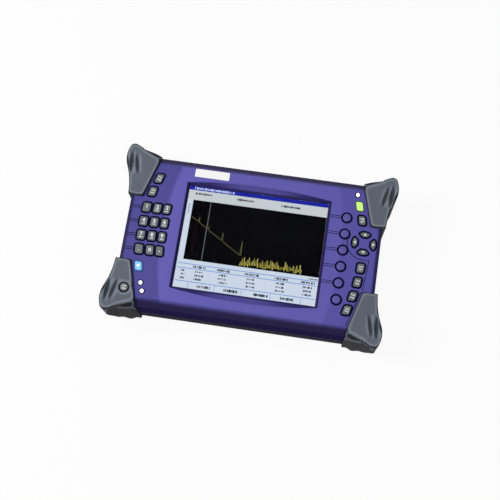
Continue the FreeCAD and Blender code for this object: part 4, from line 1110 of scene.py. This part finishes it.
def screw_parts(x, y, seat, radius, tall, material):
    """Pan head that looks down: (reach, drop) of the profile, then a socket with six corners."""
    step = np.pi / 3
    six = 1.0 / np.cos((angles % step) - step / 2) * math.cos(step / 2)
    rows = [(reach * radius, drop * tall) for reach, drop in HEAD_PROFILE]
    rows += [(SOCKET_SHARE * radius * six, drop * tall) for drop in SOCKET_PROFILE]
    rows.append((SOCKET_TIP, TIP_DOWN * tall))
    rings = [np.column_stack([x + reach * compass[:, 0], y + reach * compass[:, 1],
                              np.full(DIRECTIONS, seat + drop)]) for reach, drop in rows]
    return np.stack(rings), closed_stack(len(rows), DIRECTIONS, flip=True), material


heads = []
for spots, (seat, radius, tall) in (
        ([(x, y) for x in (-84.0, 0.0, 84.0) for y in (-64.0, 64.0)], WELL_SCREW),
        ([(x, -53.0) for x in (-48.0, 48.0)], DOOR_SCREW)):
    heads += [screw_parts(x, y, REAR_Z + seat, radius, tall, steel_sheet) for x, y in spots]
screws = make_piece("back_screws", heads, ROOT)
print("screws", len(heads))

# %% [markdown]
# The floor is a large sheet a little below the feet. For the camera, and for what metal and glass
# show, it is nearly all plain white, as on a page, with a small share of matt grey that takes the
# shadow of the instrument. Rays that carry light pass through it, and so does a view from below.

# %% Floor
FLOOR_DOWN, FLOOR_HALF, FLOOR_WHITE = 0.0003, 4.0, 0.93      # metres, metres, share of plain white


def seen_by_eye(tree):
    """1 for camera, glossy and transmission rays, 0 for the rays that carry light."""
    paths = add_node(tree, "LightPath").outputs
    seen = paths["Is Camera Ray"]
    for kind in ("Is Glossy Ray", "Is Transmission Ray"):
        seen = math_of(tree, "MAXIMUM", seen, paths[kind])
    return seen


floor_mesh = bpy.data.meshes.new("floor")
floor_mesh.from_pydata([(x * FLOOR_HALF, y * FLOOR_HALF, -FLOOR_DOWN)
                        for x, y in ((-1, -1), (1, -1), (1, 1), (-1, 1))], [], [(0, 1, 2, 3)])
floor = in_scene("floor", floor_mesh)
floor_white, floor_shader = shader("floor_white")
floor_shader.inputs["Base Color"].default_value = (0.8, 0.8, 0.8, 1.0)
floor_shader.inputs["Roughness"].default_value = 0.9
floor_shader.inputs["Specular IOR Level"].default_value = 0.0
tree = floor_white.node_tree
white = add_node(tree, "Emission", {"Strength": 1.0}).outputs["Emission"]
pale = add_node(tree, "MixShader", {"Fac": FLOOR_WHITE, 1: floor_shader.outputs["BSDF"], 2: white})
behind = add_node(tree, "NewGeometry").outputs["Backfacing"]
front = math_of(tree, "SUBTRACT", seen_by_eye(tree), behind, use_clamp=True)
clear = add_node(tree, "BsdfTransparent").outputs["BSDF"]
either = add_node(tree, "MixShader", {"Fac": front, 1: clear, 2: pale.outputs["Shader"]})
tree.links.new(either.outputs["Shader"], tree.nodes["Material Output"].inputs["Surface"])
floor_mesh.materials.append(floor_white)
print("floor", 2 * FLOOR_HALF, "m wide")

# %% [markdown]
# The world gives an even light from all sides at less than half its white, so that pale plastic
# keeps its tone, while the camera sees it as white. One large lamp from the upper left gives the
# soft highlights and the shadows of the ridges.

# %% Light
WORLD_LIGHT = 0.42

world = bpy.data.worlds.new("studio")
bpy.context.scene.world = world
world.use_nodes = True
tree = world.node_tree
sky = tree.nodes["Background"].inputs
sky["Color"].default_value = (1.0, 1.0, 1.0, 1.0)
level = add_node(tree, "MapRange",
                 {"Value": seen_by_eye(tree), "To Min": WORLD_LIGHT, "To Max": 1.0})
tree.links.new(level.outputs["Result"], sky["Strength"])


def soft_box(name, place, aim, size, power):
    """Square area lamp that faces a point."""
    lamp = bpy.data.lights.new(name, "AREA")
    lamp.size = size
    lamp.energy = power
    holder = in_scene(name, lamp)
    holder.location = place
    holder.rotation_mode = "QUATERNION"
    holder.rotation_quaternion = (Vector(aim) - Vector(place)).to_track_quat("-Z", "Y")
    return holder


lamp = soft_box("overhead", (-0.75, -0.1, 1.0), (0, 0, 0.03), 0.6, 10.0)
bpy.context.scene.view_settings.view_transform = "Standard"
print("lamp", lamp.data.energy, "W,", round(lamp.location.length, 2), "m away")
